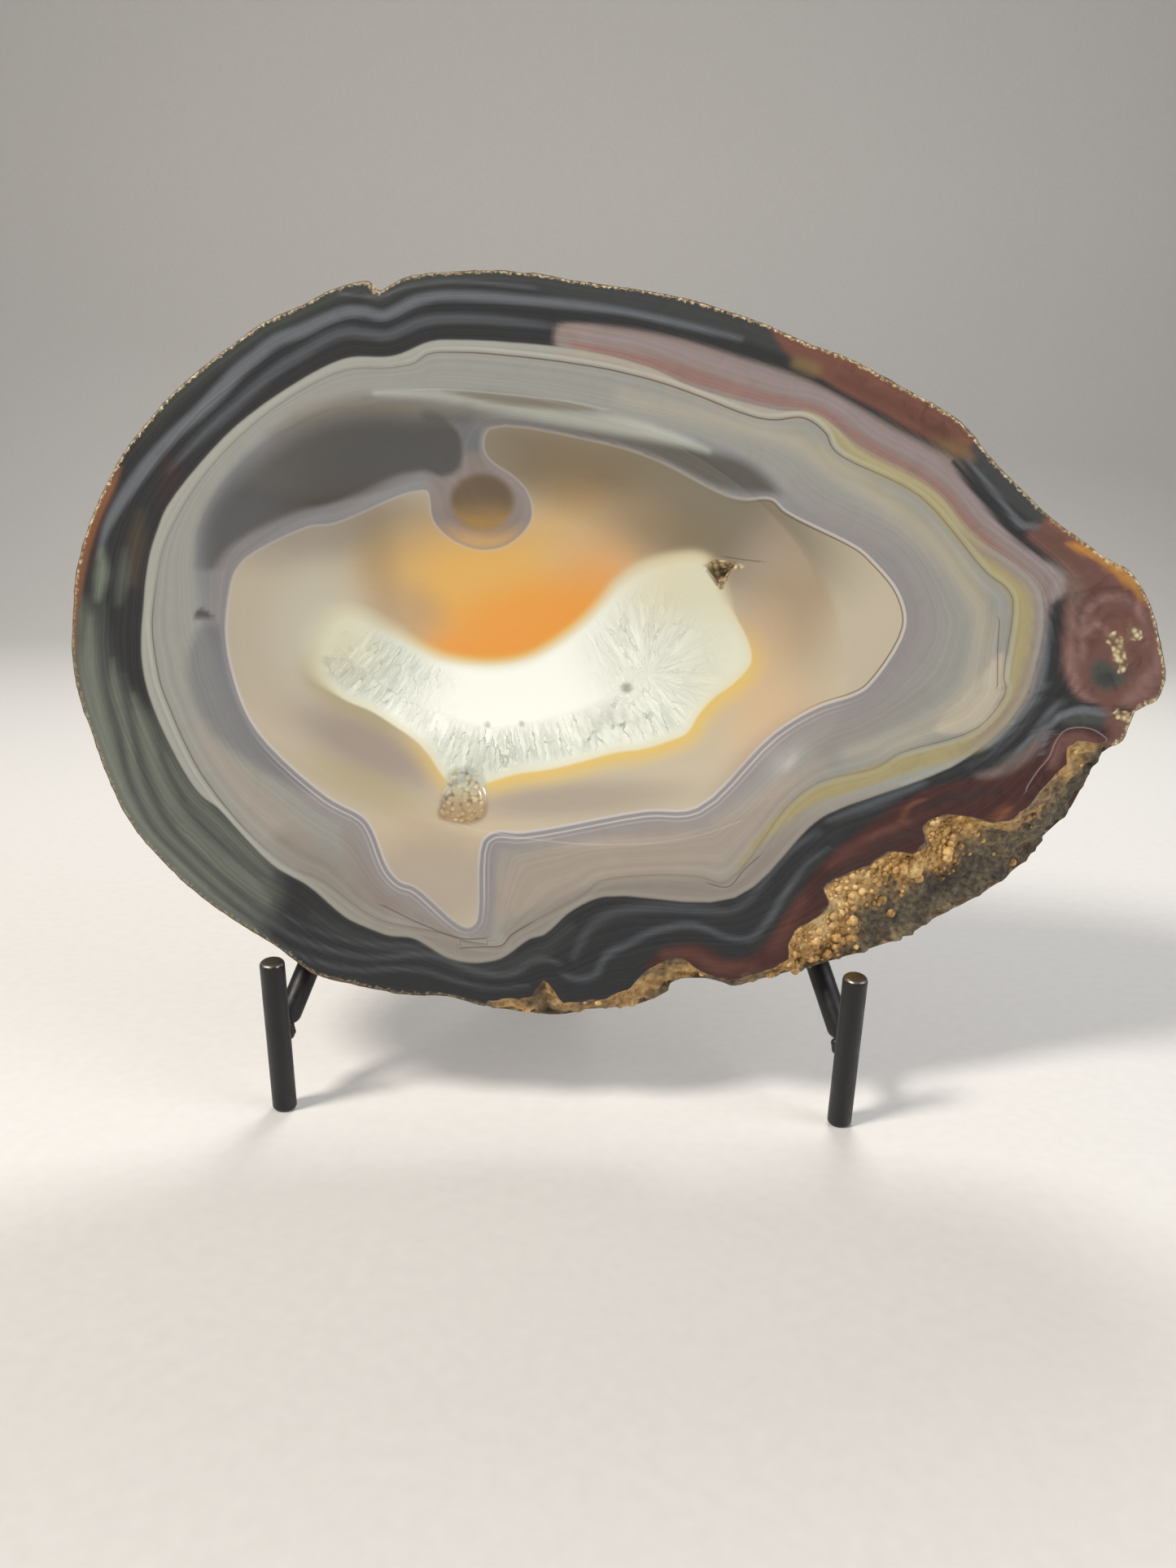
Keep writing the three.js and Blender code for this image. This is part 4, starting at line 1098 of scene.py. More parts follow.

# %% [markdown]
# The core is the last water that was left in the hollow. It is cream where it is plain and olive at its
# upper right. Above the crystals it runs from amber to orange: partly iron oxide finely spread in clear
# quartz, partly painted glow of light shining through the stone from behind, brightest next to the crystals.
# Inside the dish's right wall the core is painted beige, tan and peach, browner than just outside the dish:
# painted shade on that wall, so the dish's edge shows as a step in tone.

# %% The core
core = Coat("cream")
dish_wall_shade_area = soft_step(-0.02, 0.02, 1 - dish_fraction(face_x, face_z))
# In this list the amber and orange spots over the crystals are partly iron colour and partly painted glow of
# light shining through the stone from behind.
for colour, mask in [
    ("beige", 0.3 * spot(-60, -8, 26, 20, 0, 0.6)),
    ("taupe", 0.6 * spot(-62, 24, 16, 6, 20, 0.7)),
    ("olive", 0.8 * spot(-24, 40, 14, 7, -6, 0.6)),
    ("umber", 0.35 * spot(-2, 36, 22, 8, -14, 0.7)),
    ("olive", 0.95 * spot(16, 29, 30, 12, -24, 0.5)),
    ("moss", 0.18 * spot(26, 25, 14, 8, -30, 0.8)),
    ("bronze", 0.75 * spot(-8, 34, 13, 8, -20, 0.8)),
    ("bronze", 0.4 * spot(-46, 24, 12, 8, 20, 0.7)),
    ("amber", 0.95 * spot(-28, 13, 22, 13, 0, 0.6)),
    ("amber", 0.5 * spot(-11, 21, 10, 10, 0, 0.8)),
    ("peach", 0.6 * spot(-2, 20, 11, 9, 20, 0.8)),
    ("bronze", 0.5 * spot(10, 24, 12, 5, -10, 0.8)),
    ("orange", 0.9 * spot(-18, 5, 20, 9, 12, 0.6)),
    ("orange", 0.55 * spot(-4, 13, 9, 8, 40, 0.8)),
    ("bronze", 0.25 * spot(-51, 14, 4, 11, 0, 0.8)),
    ("mauve", 0.35 * spot(-43.5, 8, 6, 5, -20, 0.9)),
    # The next three spots are painted shade on the dish's right wall: inside the dish the core is browner
    # and darker than just outside it.
    ("beige", 0.7 * dish_wall_shade_area * spot(34, 12, 9, 13, 0, 0.6)),
    ("tan", 0.45 * dish_wall_shade_area * spot(37, 8, 8, 16, 0, 0.8)),
    ("peach", 0.6 * dish_wall_shade_area * spot(30, -4, 6, 12, 0, 0.8)),
    ("peach", 0.55 * spot(32, -16, 10, 9, 35, 0.8)),
    ("mauve", 0.65 * spot(-50, -22.5, 15, 5, -26, 0.6)),
    ("mauve", 0.5 * spot(-8, -32, 22, 3.6, 5, 0.7)),
    ("straw", 0.55 * spot(-50, -30.5, 13, 3.2, -24, 0.7)),
    ("frost", 0.35 * spot(-62, 3, 9, 11, 0, 0.8)),
    ("peach", 0.35 * spot(-34, -40, 14, 5, 0, 0.7)),
    ("beige", 0.6 * spot(-36, -49, 12, 10, 0, 0.5)),
    ("mauve", 0.35 * spot(30, -22, 12, 3, 45, 0.7)),
]:
    core.lay(colour, mask)
# Next to the crystals the core is painted brighter, lemon, straw, orange and ivory: partly the stone's own
# yellow, partly painted glow of light shining through from behind.
above = spot(-16, 12, 34, 16, 12, 0.3)
painted_glow_halo = soft_step(-5.0, 0.2, inside[5]) * (1 - above)
core.lay("lemon", 0.85 * painted_glow_halo * spot(-2, -16, 40, 20, 12, 0.3))
core.lay("straw", 0.6 * painted_glow_halo * spot(-56, -12, 14, 10, 0, 0.4))
core.lay("orange", 0.9 * soft_step(-9.0, -2.5, inside[5]) * spot(-20, 1, 21, 8, 14, 0.4))
core.lay("lemon", 0.75 * soft_step(-2.4, 0.4, inside[5]) * spot(-20, 1, 27, 10, 14, 0.4))
core.lay("ivory", 0.8 * soft_step(-2.4, 0.6, inside[5]) * spot(10, 17, 13, 8, 0, 0.5))
print("core painted,", int((inside[4] > 0).sum()), "points")

# %% [markdown]
# A round eye hangs in the upper left of the core. It is a drip of chalcedony cut across, so it is a disc
# inside rings: lavender outside, and brown that turns golden towards its lower edge.

# %% The eye
eye_place = np.array([-28.9, 30.6])
eye_size = np.array([6.9, 5.6])
eye_reach = np.hypot((face_x - eye_place[0]) / eye_size[0], (face_z - eye_place[1]) / eye_size[1])
eye_height = (face_z - eye_place[1]) / eye_size[1]
in_collar = (1 - soft_step(1.5, 1.9, eye_reach)) * (inside[4] < 0.5) * (1 - lens)
in_disc = 1 - soft_step(0.8, 1.12, eye_reach)
milky.lay("mauve", 0.8 * in_collar)
# The amber below the collar carries on the core's amber: partly iron colour, partly painted glow of light
# shining through from behind.
milky.lay("amber", 0.6 * in_collar * (1 - soft_step(-1.6, -0.5, eye_height)))
milky.lay("bronze", in_disc)
milky.lay("umber", 0.75 * in_disc * soft_step(-0.7, 0.5, eye_height))
milky.lay("amber", 0.4 * in_disc * (1 - soft_step(-1.1, 0.1, eye_height)))
print("eye painted")

# %% [markdown]
# The crystals grew inwards from both walls of the last hollow and met along a seam. Each one points at the
# seam, and at its right end they open like a fan. A point's place along the seam, together with the
# direction from which it looks at the seam, is the same all along one crystal, so a pattern on those two
# numbers draws long fibres. Their near-white is partly their own milky colour and partly painted glow of
# light shining through them from behind. Above the seam that painted glow is so bright that no fibre
# shows. Its upper border fades, and its lower one is crisp, so the distance to the border is divided by
# how soft it is there.

# %% Crystals
seam = [(-57, -3), (-47, -10), (-27, -17), (-19.5, -16.3), (-8, -13), (2.5, -8), (7, -5)]
seam_steps = 40
fan_reach = 9.0
# The snow base and its ivory and frost spots are partly the crystals' own colour and partly painted glow.
crystals = Coat("snow")
for colour, mask in [
    ("frost", 0.4 * spot(13, 4, 18, 22, 0, 0.6)),
    ("ivory", 0.65 * spot(17, 14, 15, 8, 0, 0.7)),
    ("ivory", 0.35 * spot(24, -2, 8, 12, 0, 0.6)),
    ("frost", 0.35 * spot(22, 4, 10, 14, 0, 0.6)),
    ("frost", 0.8 * spot(-57, -3, 16, 12, 0, 0.6)),
    ("ivory", 0.5 * spot(-61, 2, 9, 9, 0, 0.7)),
    ("frost", 0.7 * spot(-34, -26, 16, 6, 0, 0.7)),
    ("frost", 0.45 * spot(0, -20, 26, 6, 10, 0.7)),
    ("ivory", 0.55 * (1 - soft_step(0, 2.5, inside[5]))),
]:
    crystals.lay(colour, mask)
seam_line = smooth_path(seam, seam_steps, closed=False)
seam_walk = np.concatenate([[0], np.cumsum(np.linalg.norm(np.diff(seam_line, axis=0), axis=1))])
gaps = np.stack([face_x[:, None] - seam_line[:, 0], face_z[:, None] - seam_line[:, 1]], 2)
nearest = np.argmin((gaps**2).sum(2), 1)
towards = gaps[np.arange(front_count), nearest]
seam_gap = np.linalg.norm(towards, axis=1)
fan = fan_reach * np.arctan2(towards[:, 1], towards[:, 0])
at_fan = soft_step(0.7, 1.0, seam_walk[nearest] / seam_walk[-1])
fibre = np.stack([seam_walk[nearest] + fan * at_fan, np.sign(towards[:, 1]) * 5, seam_gap * 0.14], 1)
below_seam = soft_step(0.5, -0.5, towards[:, 1])
fibre_share = np.clip(below_seam + spot(9, -2, 14, 12, 0, 0.5) + 0.8 * spot(-46, -6, 14, 7, -30, 0.5), 0, 1)
fibre_share = fibre_share * (1 - 0.75 * spot(24, 6, 10, 14, 0, 0.6))
fibre_share = fibre_share * soft_step(0.6, 3.5, inside[5]) * (1 - 0.35 * spot(14, 0, 16, 15))
fibre_share = fibre_share * (1 - 0.75 * spot(-20, -9, 22, 7, 8, 0.5))
upper_border = spot(-22, 6, 44, 9, 10, 0.4) + spot(12, 18, 18, 9, 0, 0.4) + spot(-62, 0, 12, 9, 0, 0.4)
border_softness = mix(0.35, 1.8, np.clip(upper_border, 0, 1)) + 2.4 * spot(-61, 3, 13, 10, 0, 0.6)
crystal_reach = inside[5] / border_softness
for x, z, size, strength in [
    (2.7, -7.9, 1.1, 0.6), (-26.8, -16.6, 0.6, 0.45), (-19.5, -16.2, 0.6, 0.45), (-47.6, -9.8, 0.5, 0.4),
]:
    crystals.lay("moss", strength * spot(x, z, size, size, 0, 0.5))
print("seam", round(float(seam_walk[-1]), 1), "mm")

# %% [markdown]
# In a few small places the stone is granular instead of banded: around the three-sided hollow, in the
# pocket below the crystals with its pale neck, and in two nests of tan grains at the tip.

# %% Granular places
grain_rows = [
    [(19.6, 18.4, 0.5), (22.4, 17.6, 0.9), (26.2, 17.2, 0.3)],
    [(22, 16.6, 1.5), (22, 13.2, 0.4)],
    [(105, 3.8, 1.1), (104, 5, 1.0)],
    [(100.4, 3.2, 1.3), (101.3, 0.8, 1.2), (102.2, -1.4, 1.2), (102.4, -3.2, 0.8)],
    [(101.8, -11.8, 0.9), (103.4, -13.3, 1.2)],
]
granular = np.maximum.reduce([ribbon(points, 0.5) for points in grain_rows])
pocket = patch([
    (-34.4, -27), (-34.3, -30), (-35, -33.6), (-35.2, -36), (-32.7, -37.1), (-28.3, -37.2), (-26, -35.8),
    (-25.8, -31), (-27, -27.5), (-30.5, -25.5),
], 0.6)
pocket_low = soft_step(-29.5, -35.5, face_z)
pocket_rim = ribbon([
    (-34.9, -33, 0.1), (-35, -35.8, 0.2), (-32.6, -36.9, 0.3), (-28.4, -37, 0.3), (-26.2, -35.7, 0.2),
    (-25.9, -32.5, 0.1),
], 0.6)
granular = np.maximum(granular, 0.42 * pocket)
# Soot at the bottom of the three-sided hollow and in a small hole at the tip is painted shade in those
# recesses.
painted_hole_shade = ribbon([(20.8, 17.3, 0.4), (22.6, 16.8, 0.9), (22.1, 15.3, 0.4)], 0.4)
painted_hole_shade += 0.7 * ribbon([(101.6, -10.6, 0.4), (103, -11.3, 0.5), (105, -11.5, 0.4)], 0.5)
at_pocket = spot(-30.6, -30, 7, 9)
at_hollow = spot(21.6, 16, 7, 7)
for coat in (outer, core, crystals):
    coat.lay("bronze", 0.7 * granular * (1 - at_pocket) * (1 - at_hollow))
    coat.lay("tan", 0.9 * granular * at_hollow)
    coat.lay("frost", 0.6 * pocket * (1 - pocket_low))
    coat.lay("sage", 0.25 * pocket)
    coat.lay("tan", 0.85 * pocket * pocket_low)
    coat.lay("bronze", 0.6 * pocket_rim)
    coat.lay("soot", painted_hole_shade)
print("granular points", int((granular > 0.5).sum()))

# %% [markdown]
# Some lines are finer than the mesh. Each point of the face keeps its distance to the nearest of them, with
# a sign for the side on which it lies, so that the material can draw them sharp. A second number fades them
# at the ends. Of the light lines, the first and the last are painted highlights along the dish's upper and
# lower edges.

# %% Fine veins and painted highlights on the dish's edges
# The first and last light paths are painted highlights along the dish's edges; the second is a pale line
# beside the broken corner.
rim_highlights_and_veins = [
    [(-42, 50.7), (-34, 50.9), (-26, 50.4), (-18, 49.7), (-10, 48.8), (-3, 47.4)],
    [
        (83.5, -27.5), (86, -23.6), (88, -21.1), (89.2, -18), (91, -15.6), (94, -14.9), (97, -15.4),
        (99.3, -16.9),
    ],
    [(-34, -37), (-26, -38.8), (-16, -40.2), (-4, -41), (8, -40.4), (18, -38.6), (26, -35.6)],
]
dark_veins = [
    [(-46, -54.4), (-38, -58), (-30, -60.7), (-25, -60.6)],
    [(-29.5, -62.6), (-25, -62.3), (-21.6, -61.9), (-19.5, -59.6), (-16, -57.4)],
    [(20, -48.3), (24, -48.9), (27, -45.5), (30, -42.6)],
    [(77.4, 6), (77.2, 0), (77.3, -6.5)],
    [(22.5, 19.3), (26, 18.6), (29.5, 18)],
    [(-57, -3), (-53, -6.2), (-49.5, -8.8), (-46, -10.6)],
    [(-9, -13.2), (-4, -11), (0, -9.2), (2.6, -7.9), (6, -5.6), (9.5, -5.2), (13, -6.6)],
]


def signed_gap(paths):
    best = np.full(front_count, np.inf)
    for points in paths:
        line = smooth_path(points, path_steps, closed=False)
        for a, b in zip(line[:-1], line[1:]):
            _, gap, side = beside(a, b)
            best = np.where(gap < np.abs(best), gap * side, best)
    return best, 1 - soft_step(0.8, 1.8, np.abs(best))


highlight_and_vein_gap, highlight_and_vein_share = signed_gap(rim_highlights_and_veins)
dark_gap, dark_share = signed_gap(dark_veins)
print("veins", len(rim_highlights_and_veins), "light,", len(dark_veins), "dark")

# %% [markdown]
# What the material needs is stored on the points of the mesh: the four coats, the distances to the rings,
# the fibres of the crystals, and how strong the fine streaks, the soft clouds, the cut rind and the thin
# lines are in each place. A vector holds three numbers, so most of them travel in threes.

# %% Store the paint on the mesh
layer_mm = [0, 17, 21, 36, 44, 58, 60]


def keep(piece, name, kind, values, slot="value"):
    values = np.asarray(values, float)
    full = np.zeros((len(piece.data.vertices), *values.shape[1:]))
    full[: len(values)] = values
    attribute = piece.data.attributes.new(name, kind, "POINT")
    attribute.data.foreach_set(slot, full.ravel())


def with_alpha(colour):
    return np.concatenate([colour, np.ones((len(colour), 1))], 1)


for name, coat in (("outer", outer), ("milky", milky), ("core", core), ("crystals", crystals)):
    keep(stone, name, "FLOAT_COLOR", with_alpha(coat.colour), "color")

layer = np.interp(band, range(len(layer_mm)), layer_mm)
streaks = np.where(inside[1] < 0, 0.28, np.where(inside[4] < 0, 0.11, 0.02)) * (1 - 0.8 * lens)
streaks = streaks * (1 - spot(101, 0, 14, 22)) * (1 - 0.55 * spot(40, 52, 60, 18, -24, 0.4))
clouding = np.where(inside[1] < 0, 0.2, 0.12) * (inside[4] < 0)
clouding += 0.7 * spot(101, 0, 16, 24) + 0.6 * spot(58, 55, 30, 7, -35) + 0.35 * spot(64, -42, 44, 16, 33)
rind_share = 0.35 + 0.65 * spots((-84, 50, 50, 26, 45, 0.4), (36, 64, 90, 20, -20, 0.4), (104, 0, 16, 30))
hairline_share = np.clip(spot(6, 54, 52, 14, -14, 0.4) + 0.45 * spot(80, 6, 30, 40, 0, 0.5), 0, 1)
hairline_share = np.maximum(0.3 + 0.7 * hairline_share, 0.8 * spot(-86, -18, 14, 30, 20, 0.4))
double_share = spots((-48, -38, 26, 18, -48, 0.4), (8, -32, 44, 14, 20, 0.4))
white_share = spots((45, 4, 24, 34, 0, 0.4), (-60, -24, 34, 30, -30, 0.4), (0, -36, 40, 8, 6, 0.4))
white_share = 0.35 + 0.45 * white_share
inner_share = spot(48, 12, 20, 28, 20, 0.4)
for name, columns_of in [
    ("rings_out", (inside[0], inside[1], inside[2])),
    ("rings_in", (inside[4], crystal_reach, layer)),
    ("line_shares", (hairline_share, double_share, streaks)),
    ("more_shares", (white_share, inner_share, fibre_share)),
    ("rim_highlights_and_veins", (highlight_and_vein_gap, highlight_and_vein_share, granular)),
    ("dark_veins", (dark_gap, dark_share, rind_share)),
    ("fibre", fibre.T),
    ("place_mm", stone_points.T),
]:
    keep(stone, name, "FLOAT_VECTOR", np.stack(columns_of, 1), "vector")
keep(stone, "clouding", "FLOAT", np.clip(clouding, 0, 1))
print(len(stone.data.attributes), "attributes")

# %% [markdown]
# Polished chalcedony is quartz in fibres too fine to see, with an index of refraction of 1.54. A felt wheel
# with cerium oxide gives it a wet gloss, so the roughness is low. The material mixes the coats where the
# rings lie, then adds what is finer than the mesh. The streaks are a noise in one dimension, read along the
# layering, which sways a little. Real layers are a few hundredths of a millimetre thick, so they are drawn
# coarser. Soft clouds, some paler and some darker, lie where the stone is mottled.

# %% Material: polished chalcedony
polish, tree = new_material("polished_chalcedony")
numbers = {}
for name in ("rings_out", "rings_in", "line_shares", "more_shares", "rim_highlights_and_veins", "dark_veins"):
    vector = add(tree, "ShaderNodeAttribute", attribute_name=name).outputs["Vector"]
    numbers[name] = add(tree, "ShaderNodeSeparateXYZ", {"Vector": vector}).outputs
to_outline, to_dark_edge, to_hairline = numbers["rings_out"]
to_white_line, to_crystals, layering = numbers["rings_in"]
on_hairline, on_double, on_streaks = numbers["line_shares"]
on_white, on_inner, on_fibres = numbers["more_shares"]
to_highlight_and_vein, on_highlight_and_vein, on_grains = numbers["rim_highlights_and_veins"]
to_dark_vein, on_dark_vein, on_rind = numbers["dark_veins"]
on_clouds = add(tree, "ShaderNodeAttribute", attribute_name="clouding").outputs["Fac"]
place_mm = add(tree, "ShaderNodeAttribute", attribute_name="place_mm").outputs["Vector"]
sway_size, sway_height, border_sway = 7, 0.9, 0.22
sway = add(tree, "ShaderNodeTexNoise", {"Vector": place_mm, "Scale": 1 / sway_size, "Detail": 2})
sway_terms = {0: sway.outputs[0], 1: sway_height, 2: -sway_height / 2}
sway = add(tree, "ShaderNodeMath", sway_terms, operation="MULTIPLY_ADD")
swayed_edge, swayed_hairline = [
    add(tree, "ShaderNodeMath", {0: sway, 1: border_sway, 2: distance}, operation="MULTIPLY_ADD")
    for distance in (to_dark_edge, to_hairline)
]

# %% Streaks along the layers
streak_gain = 1.7
least_streak = 0.25
swayed_layer = add(tree, "ShaderNodeMath", {0: layering, 1: sway}, operation="ADD")
streak_noises = [
    add(
        tree,
        "ShaderNodeTexNoise",
        {"W": swayed_layer, "Scale": 1 / period_mm, "Detail": 2, "Roughness": 0.6},
        noise_dimensions="1D",
    ).outputs[0]
    for period_mm in (1.7, 0.6)
]
streak = add(tree, "ShaderNodeMath", {0: streak_noises[0], 1: streak_noises[1]}, operation="ADD")
streak = add(tree, "ShaderNodeMath", {0: streak, 1: 1}, operation="SUBTRACT")
streak = add(tree, "ShaderNodeMath", {0: streak, 1: on_streaks}, operation="MULTIPLY")
streak = add(tree, "ShaderNodeMath", {0: streak, 1: streak_gain, 2: 1}, operation="MULTIPLY_ADD")
streak = add(tree, "ShaderNodeMath", {0: streak, 1: least_streak}, operation="MAXIMUM")

# %% From coat to coat, then the clouds
border_width = 0.3
cloud_size = 5.5
cloud_tones = [(0.52, 0.72, 1.22), (0.48, 0.3, 0.74)]
smooth_step = {"interpolation_type": "SMOOTHSTEP"}
in_colour = {"data_type": "RGBA"}
colour = add(tree, "ShaderNodeAttribute", attribute_name="outer").outputs["Color"]
for border, name in ((swayed_edge, "milky"), (to_white_line, "core")):
    across = add(tree, "ShaderNodeMapRange", {0: border, 1: -border_width, 2: border_width}, **smooth_step)
    coat = add(tree, "ShaderNodeAttribute", attribute_name=name).outputs["Color"]
    colour = add(tree, "ShaderNodeMix", {"Factor": across, "A": colour, "B": coat}, **in_colour)
colour = add(tree, "ShaderNodeVectorMath", {0: colour, "Scale": streak}, operation="SCALE")
cloud_pattern = {"Vector": place_mm, "Scale": 1 / cloud_size, "Detail": 4, "Distortion": 1.6}
clouds = add(tree, "ShaderNodeTexNoise", cloud_pattern)
for low, high, gain in cloud_tones:
    cloud = add(tree, "ShaderNodeMapRange", {0: clouds.outputs[0], 1: low, 2: high}, **smooth_step)
    cloud = add(tree, "ShaderNodeMath", {0: cloud, 1: on_clouds}, operation="MULTIPLY")
    shaded = add(tree, "ShaderNodeVectorMath", {0: colour, "Scale": gain}, operation="SCALE")
    colour = add(tree, "ShaderNodeMix", {"Factor": cloud, "A": colour, "B": shaded}, **in_colour)
print("coats mixed")

# %% [markdown]
# A thin line is drawn where the distance to a ring is nearly a chosen value. The same steps draw the
# hairline, the white lines of the core, the fine veins and the painted highlights along the dish's edges,
# so a list holds what differs: where each line runs, how wide it is, its colour and how strong it is.

# %% Thin lines
thin_lines = [
    (swayed_hairline, 0, 0.15, "umber", on_hairline, 0.8),
    (swayed_hairline, -0.9, 0.35, "frost", on_hairline, 0.25),
    (to_white_line, -0.55, 0.6, "mist", on_white, 0.4),
    (to_white_line, 0.05, 0.24, "white", on_white, 0.75),
    (to_white_line, -1.1, 0.16, "white", on_double, 0.6),
    (to_white_line, -2, 0.14, "white", on_double, 0.22),
    (to_white_line, 0.62, 0.14, "umber", on_inner, 0.75),
    (to_dark_edge, 0.6, 0.45, "frost", 1, 0.08),
    # painted highlights along the dish's upper and lower edges, and a pale line beside the broken corner
    (to_highlight_and_vein, 0, 0.14, "white", on_highlight_and_vein, 0.26),
    (to_dark_vein, 0, 0.14, "umber", on_dark_vein, 0.6),
]
line_edge = 0.7
for distance, middle, half_width, name, share, strength in thin_lines:
    off = add(tree, "ShaderNodeMath", {0: distance, 1: middle}, operation="SUBTRACT")
    off = add(tree, "ShaderNodeMath", {0: off}, operation="ABSOLUTE")
    full, gone = (1 - line_edge) * half_width, (1 + line_edge) * half_width
    line = add(tree, "ShaderNodeMapRange", {0: off, 1: full, 2: gone, 3: strength, 4: 0}, **smooth_step)
    line = add(tree, "ShaderNodeMath", {0: line, 1: share}, operation="MULTIPLY")
    colour = add(tree, "ShaderNodeMix", {"Factor": line, "A": colour, "B": rgba(name)}, **in_colour)
print(len(thin_lines), "thin lines")

# %% [markdown]
# Crystals side by side meet in faces that show as fine dark seams, and each one has a tone of its own. A
# Voronoi pattern on the fibre's coordinates gives both: its cells are long in the direction of growth, and
# its edges are the seams.

# %% Crystals in the material
crystal_width = 1.25
bend_size, bend_reach = 2.2, 0.9
needle_width = 0.7
seam_width, seam_strength = 0.08, 0.62
fibre_at = add(tree, "ShaderNodeAttribute", attribute_name="fibre").outputs["Vector"]
bend = add(tree, "ShaderNodeTexNoise", {"Vector": place_mm, "Scale": 1 / bend_size, "Detail": 2})
bent = add(tree, "ShaderNodeVectorMath", {0: bend.outputs["Color"], "Scale": bend_reach}, operation="SCALE")
bent = add(tree, "ShaderNodeVectorMath", {0: bent, 1: fibre_at}, operation="ADD")
cells_at = {"Vector": bent, "Scale": 1 / crystal_width}
cell_edges = add(tree, "ShaderNodeTexVoronoi", cells_at, feature="DISTANCE_TO_EDGE")
needle_pattern = {"Vector": fibre_at, "Scale": 1 / needle_width, "Detail": 3, "Roughness": 0.7}
needles = add(tree, "ShaderNodeTexNoise", needle_pattern).outputs[0]
seam_range = {0: cell_edges, 1: 0, 2: seam_width, 3: seam_strength, 4: 0}
seams = add(tree, "ShaderNodeMapRange", seam_range, **smooth_step)
for share in (add(tree, "ShaderNodeMapRange", {0: needles, 1: 0.4, 2: 0.62}, **smooth_step), on_fibres):
    seams = add(tree, "ShaderNodeMath", {0: seams, 1: share}, operation="MULTIPLY")
cell_tone = add(tree, "ShaderNodeTexVoronoi", cells_at).outputs["Color"]
cell_tone = add(tree, "ShaderNodeSeparateColor", {0: cell_tone}).outputs[0]
cell_tone = add(tree, "ShaderNodeMapRange", {0: cell_tone, 3: 0.86, 4: 1.04})
needle_tone = add(tree, "ShaderNodeMapRange", {0: needles, 1: 0.34, 2: 0.6, 3: 0.8, 4: 1.08})
tone = add(tree, "ShaderNodeMath", {0: cell_tone, 1: needle_tone}, operation="MULTIPLY")
tone = add(tree, "ShaderNodeMix", {"Factor": on_fibres, "A": 1, "B": tone}, data_type="FLOAT")
quartz = add(tree, "ShaderNodeAttribute", attribute_name="crystals").outputs["Color"]
quartz = add(tree, "ShaderNodeVectorMath", {0: quartz, "Scale": tone}, operation="SCALE")
quartz = add(tree, "ShaderNodeMix", {"Factor": seams, "A": quartz, "B": rgba("sage")}, **in_colour)
in_crystals = add(tree, "ShaderNodeMapRange", {0: to_crystals, 1: -1, 2: 1}, **smooth_step)
colour = add(tree, "ShaderNodeMix", {"Factor": in_crystals, "A": colour, "B": quartz}, **in_colour)
print("crystals drawn")

# %% [markdown]
# The granular places are balls a millimetre wide with dark gaps between them. Where the rind was cut,
# smaller grains make a crumbly golden line of uneven width. Both are duller than the polish, which has
# faint smears.

# %% Grains in the material
ball_size, patchiness = 1.1, 1.5
balls = add(tree, "ShaderNodeTexVoronoi", {"Vector": place_mm, "Scale": 1 / ball_size})
ball_tones = add(tree, "ShaderNodeValToRGB", {0: balls.outputs["Distance"]})
set_stops(ball_tones, [(0.24, "ivory"), (0.5, "tan"), (0.66, "bronze"), (0.84, "umber")])
patchy = add(tree, "ShaderNodeTexNoise", {"Vector": place_mm, "Scale": 1 / patchiness, "Detail": 2})
grainy = add(tree, "ShaderNodeMath", {0: patchy.outputs[0], 1: 0.8, 2: on_grains}, operation="MULTIPLY_ADD")
grainy = add(tree, "ShaderNodeMapRange", {0: grainy, 1: 0.72, 2: 1, 3: 0, 4: 0.85}, **smooth_step)
colour = add(tree, "ShaderNodeMix", {"Factor": grainy, "A": colour, "B": ball_tones}, **in_colour)

# %% The cut rind in the material
ragged_size, ragged_reach = 1.1, 2.6
rind_line, rind_fade = 2.5, 0.2
cut_grain_size = 0.8
ragged_pattern = {"Vector": place_mm, "Scale": 1 / ragged_size, "Detail": 4, "Roughness": 0.7}
ragged = add(tree, "ShaderNodeTexNoise", ragged_pattern)
rind_terms = {0: ragged.outputs[0], 1: ragged_reach, 2: to_outline}
at_rind = add(tree, "ShaderNodeMath", rind_terms, operation="MULTIPLY_ADD")
rind_range = {0: at_rind, 1: rind_line - rind_fade, 2: rind_line + rind_fade, 3: 0.95, 4: 0}
at_rind = add(tree, "ShaderNodeMapRange", rind_range, **smooth_step)
at_rind = add(tree, "ShaderNodeMath", {0: at_rind, 1: on_rind}, operation="MULTIPLY")
cut_grains = add(tree, "ShaderNodeTexNoise", {"Vector": place_mm, "Scale": 1 / cut_grain_size, "Detail": 3})
cut_tones = add(tree, "ShaderNodeValToRGB", {0: cut_grains.outputs[0]})
set_stops(cut_tones, [(0.34, "umber"), (0.43, "bronze"), (0.5, "tan"), (0.62, "ivory")])
colour = add(tree, "ShaderNodeMix", {"Factor": at_rind, "A": colour, "B": cut_tones}, **in_colour)

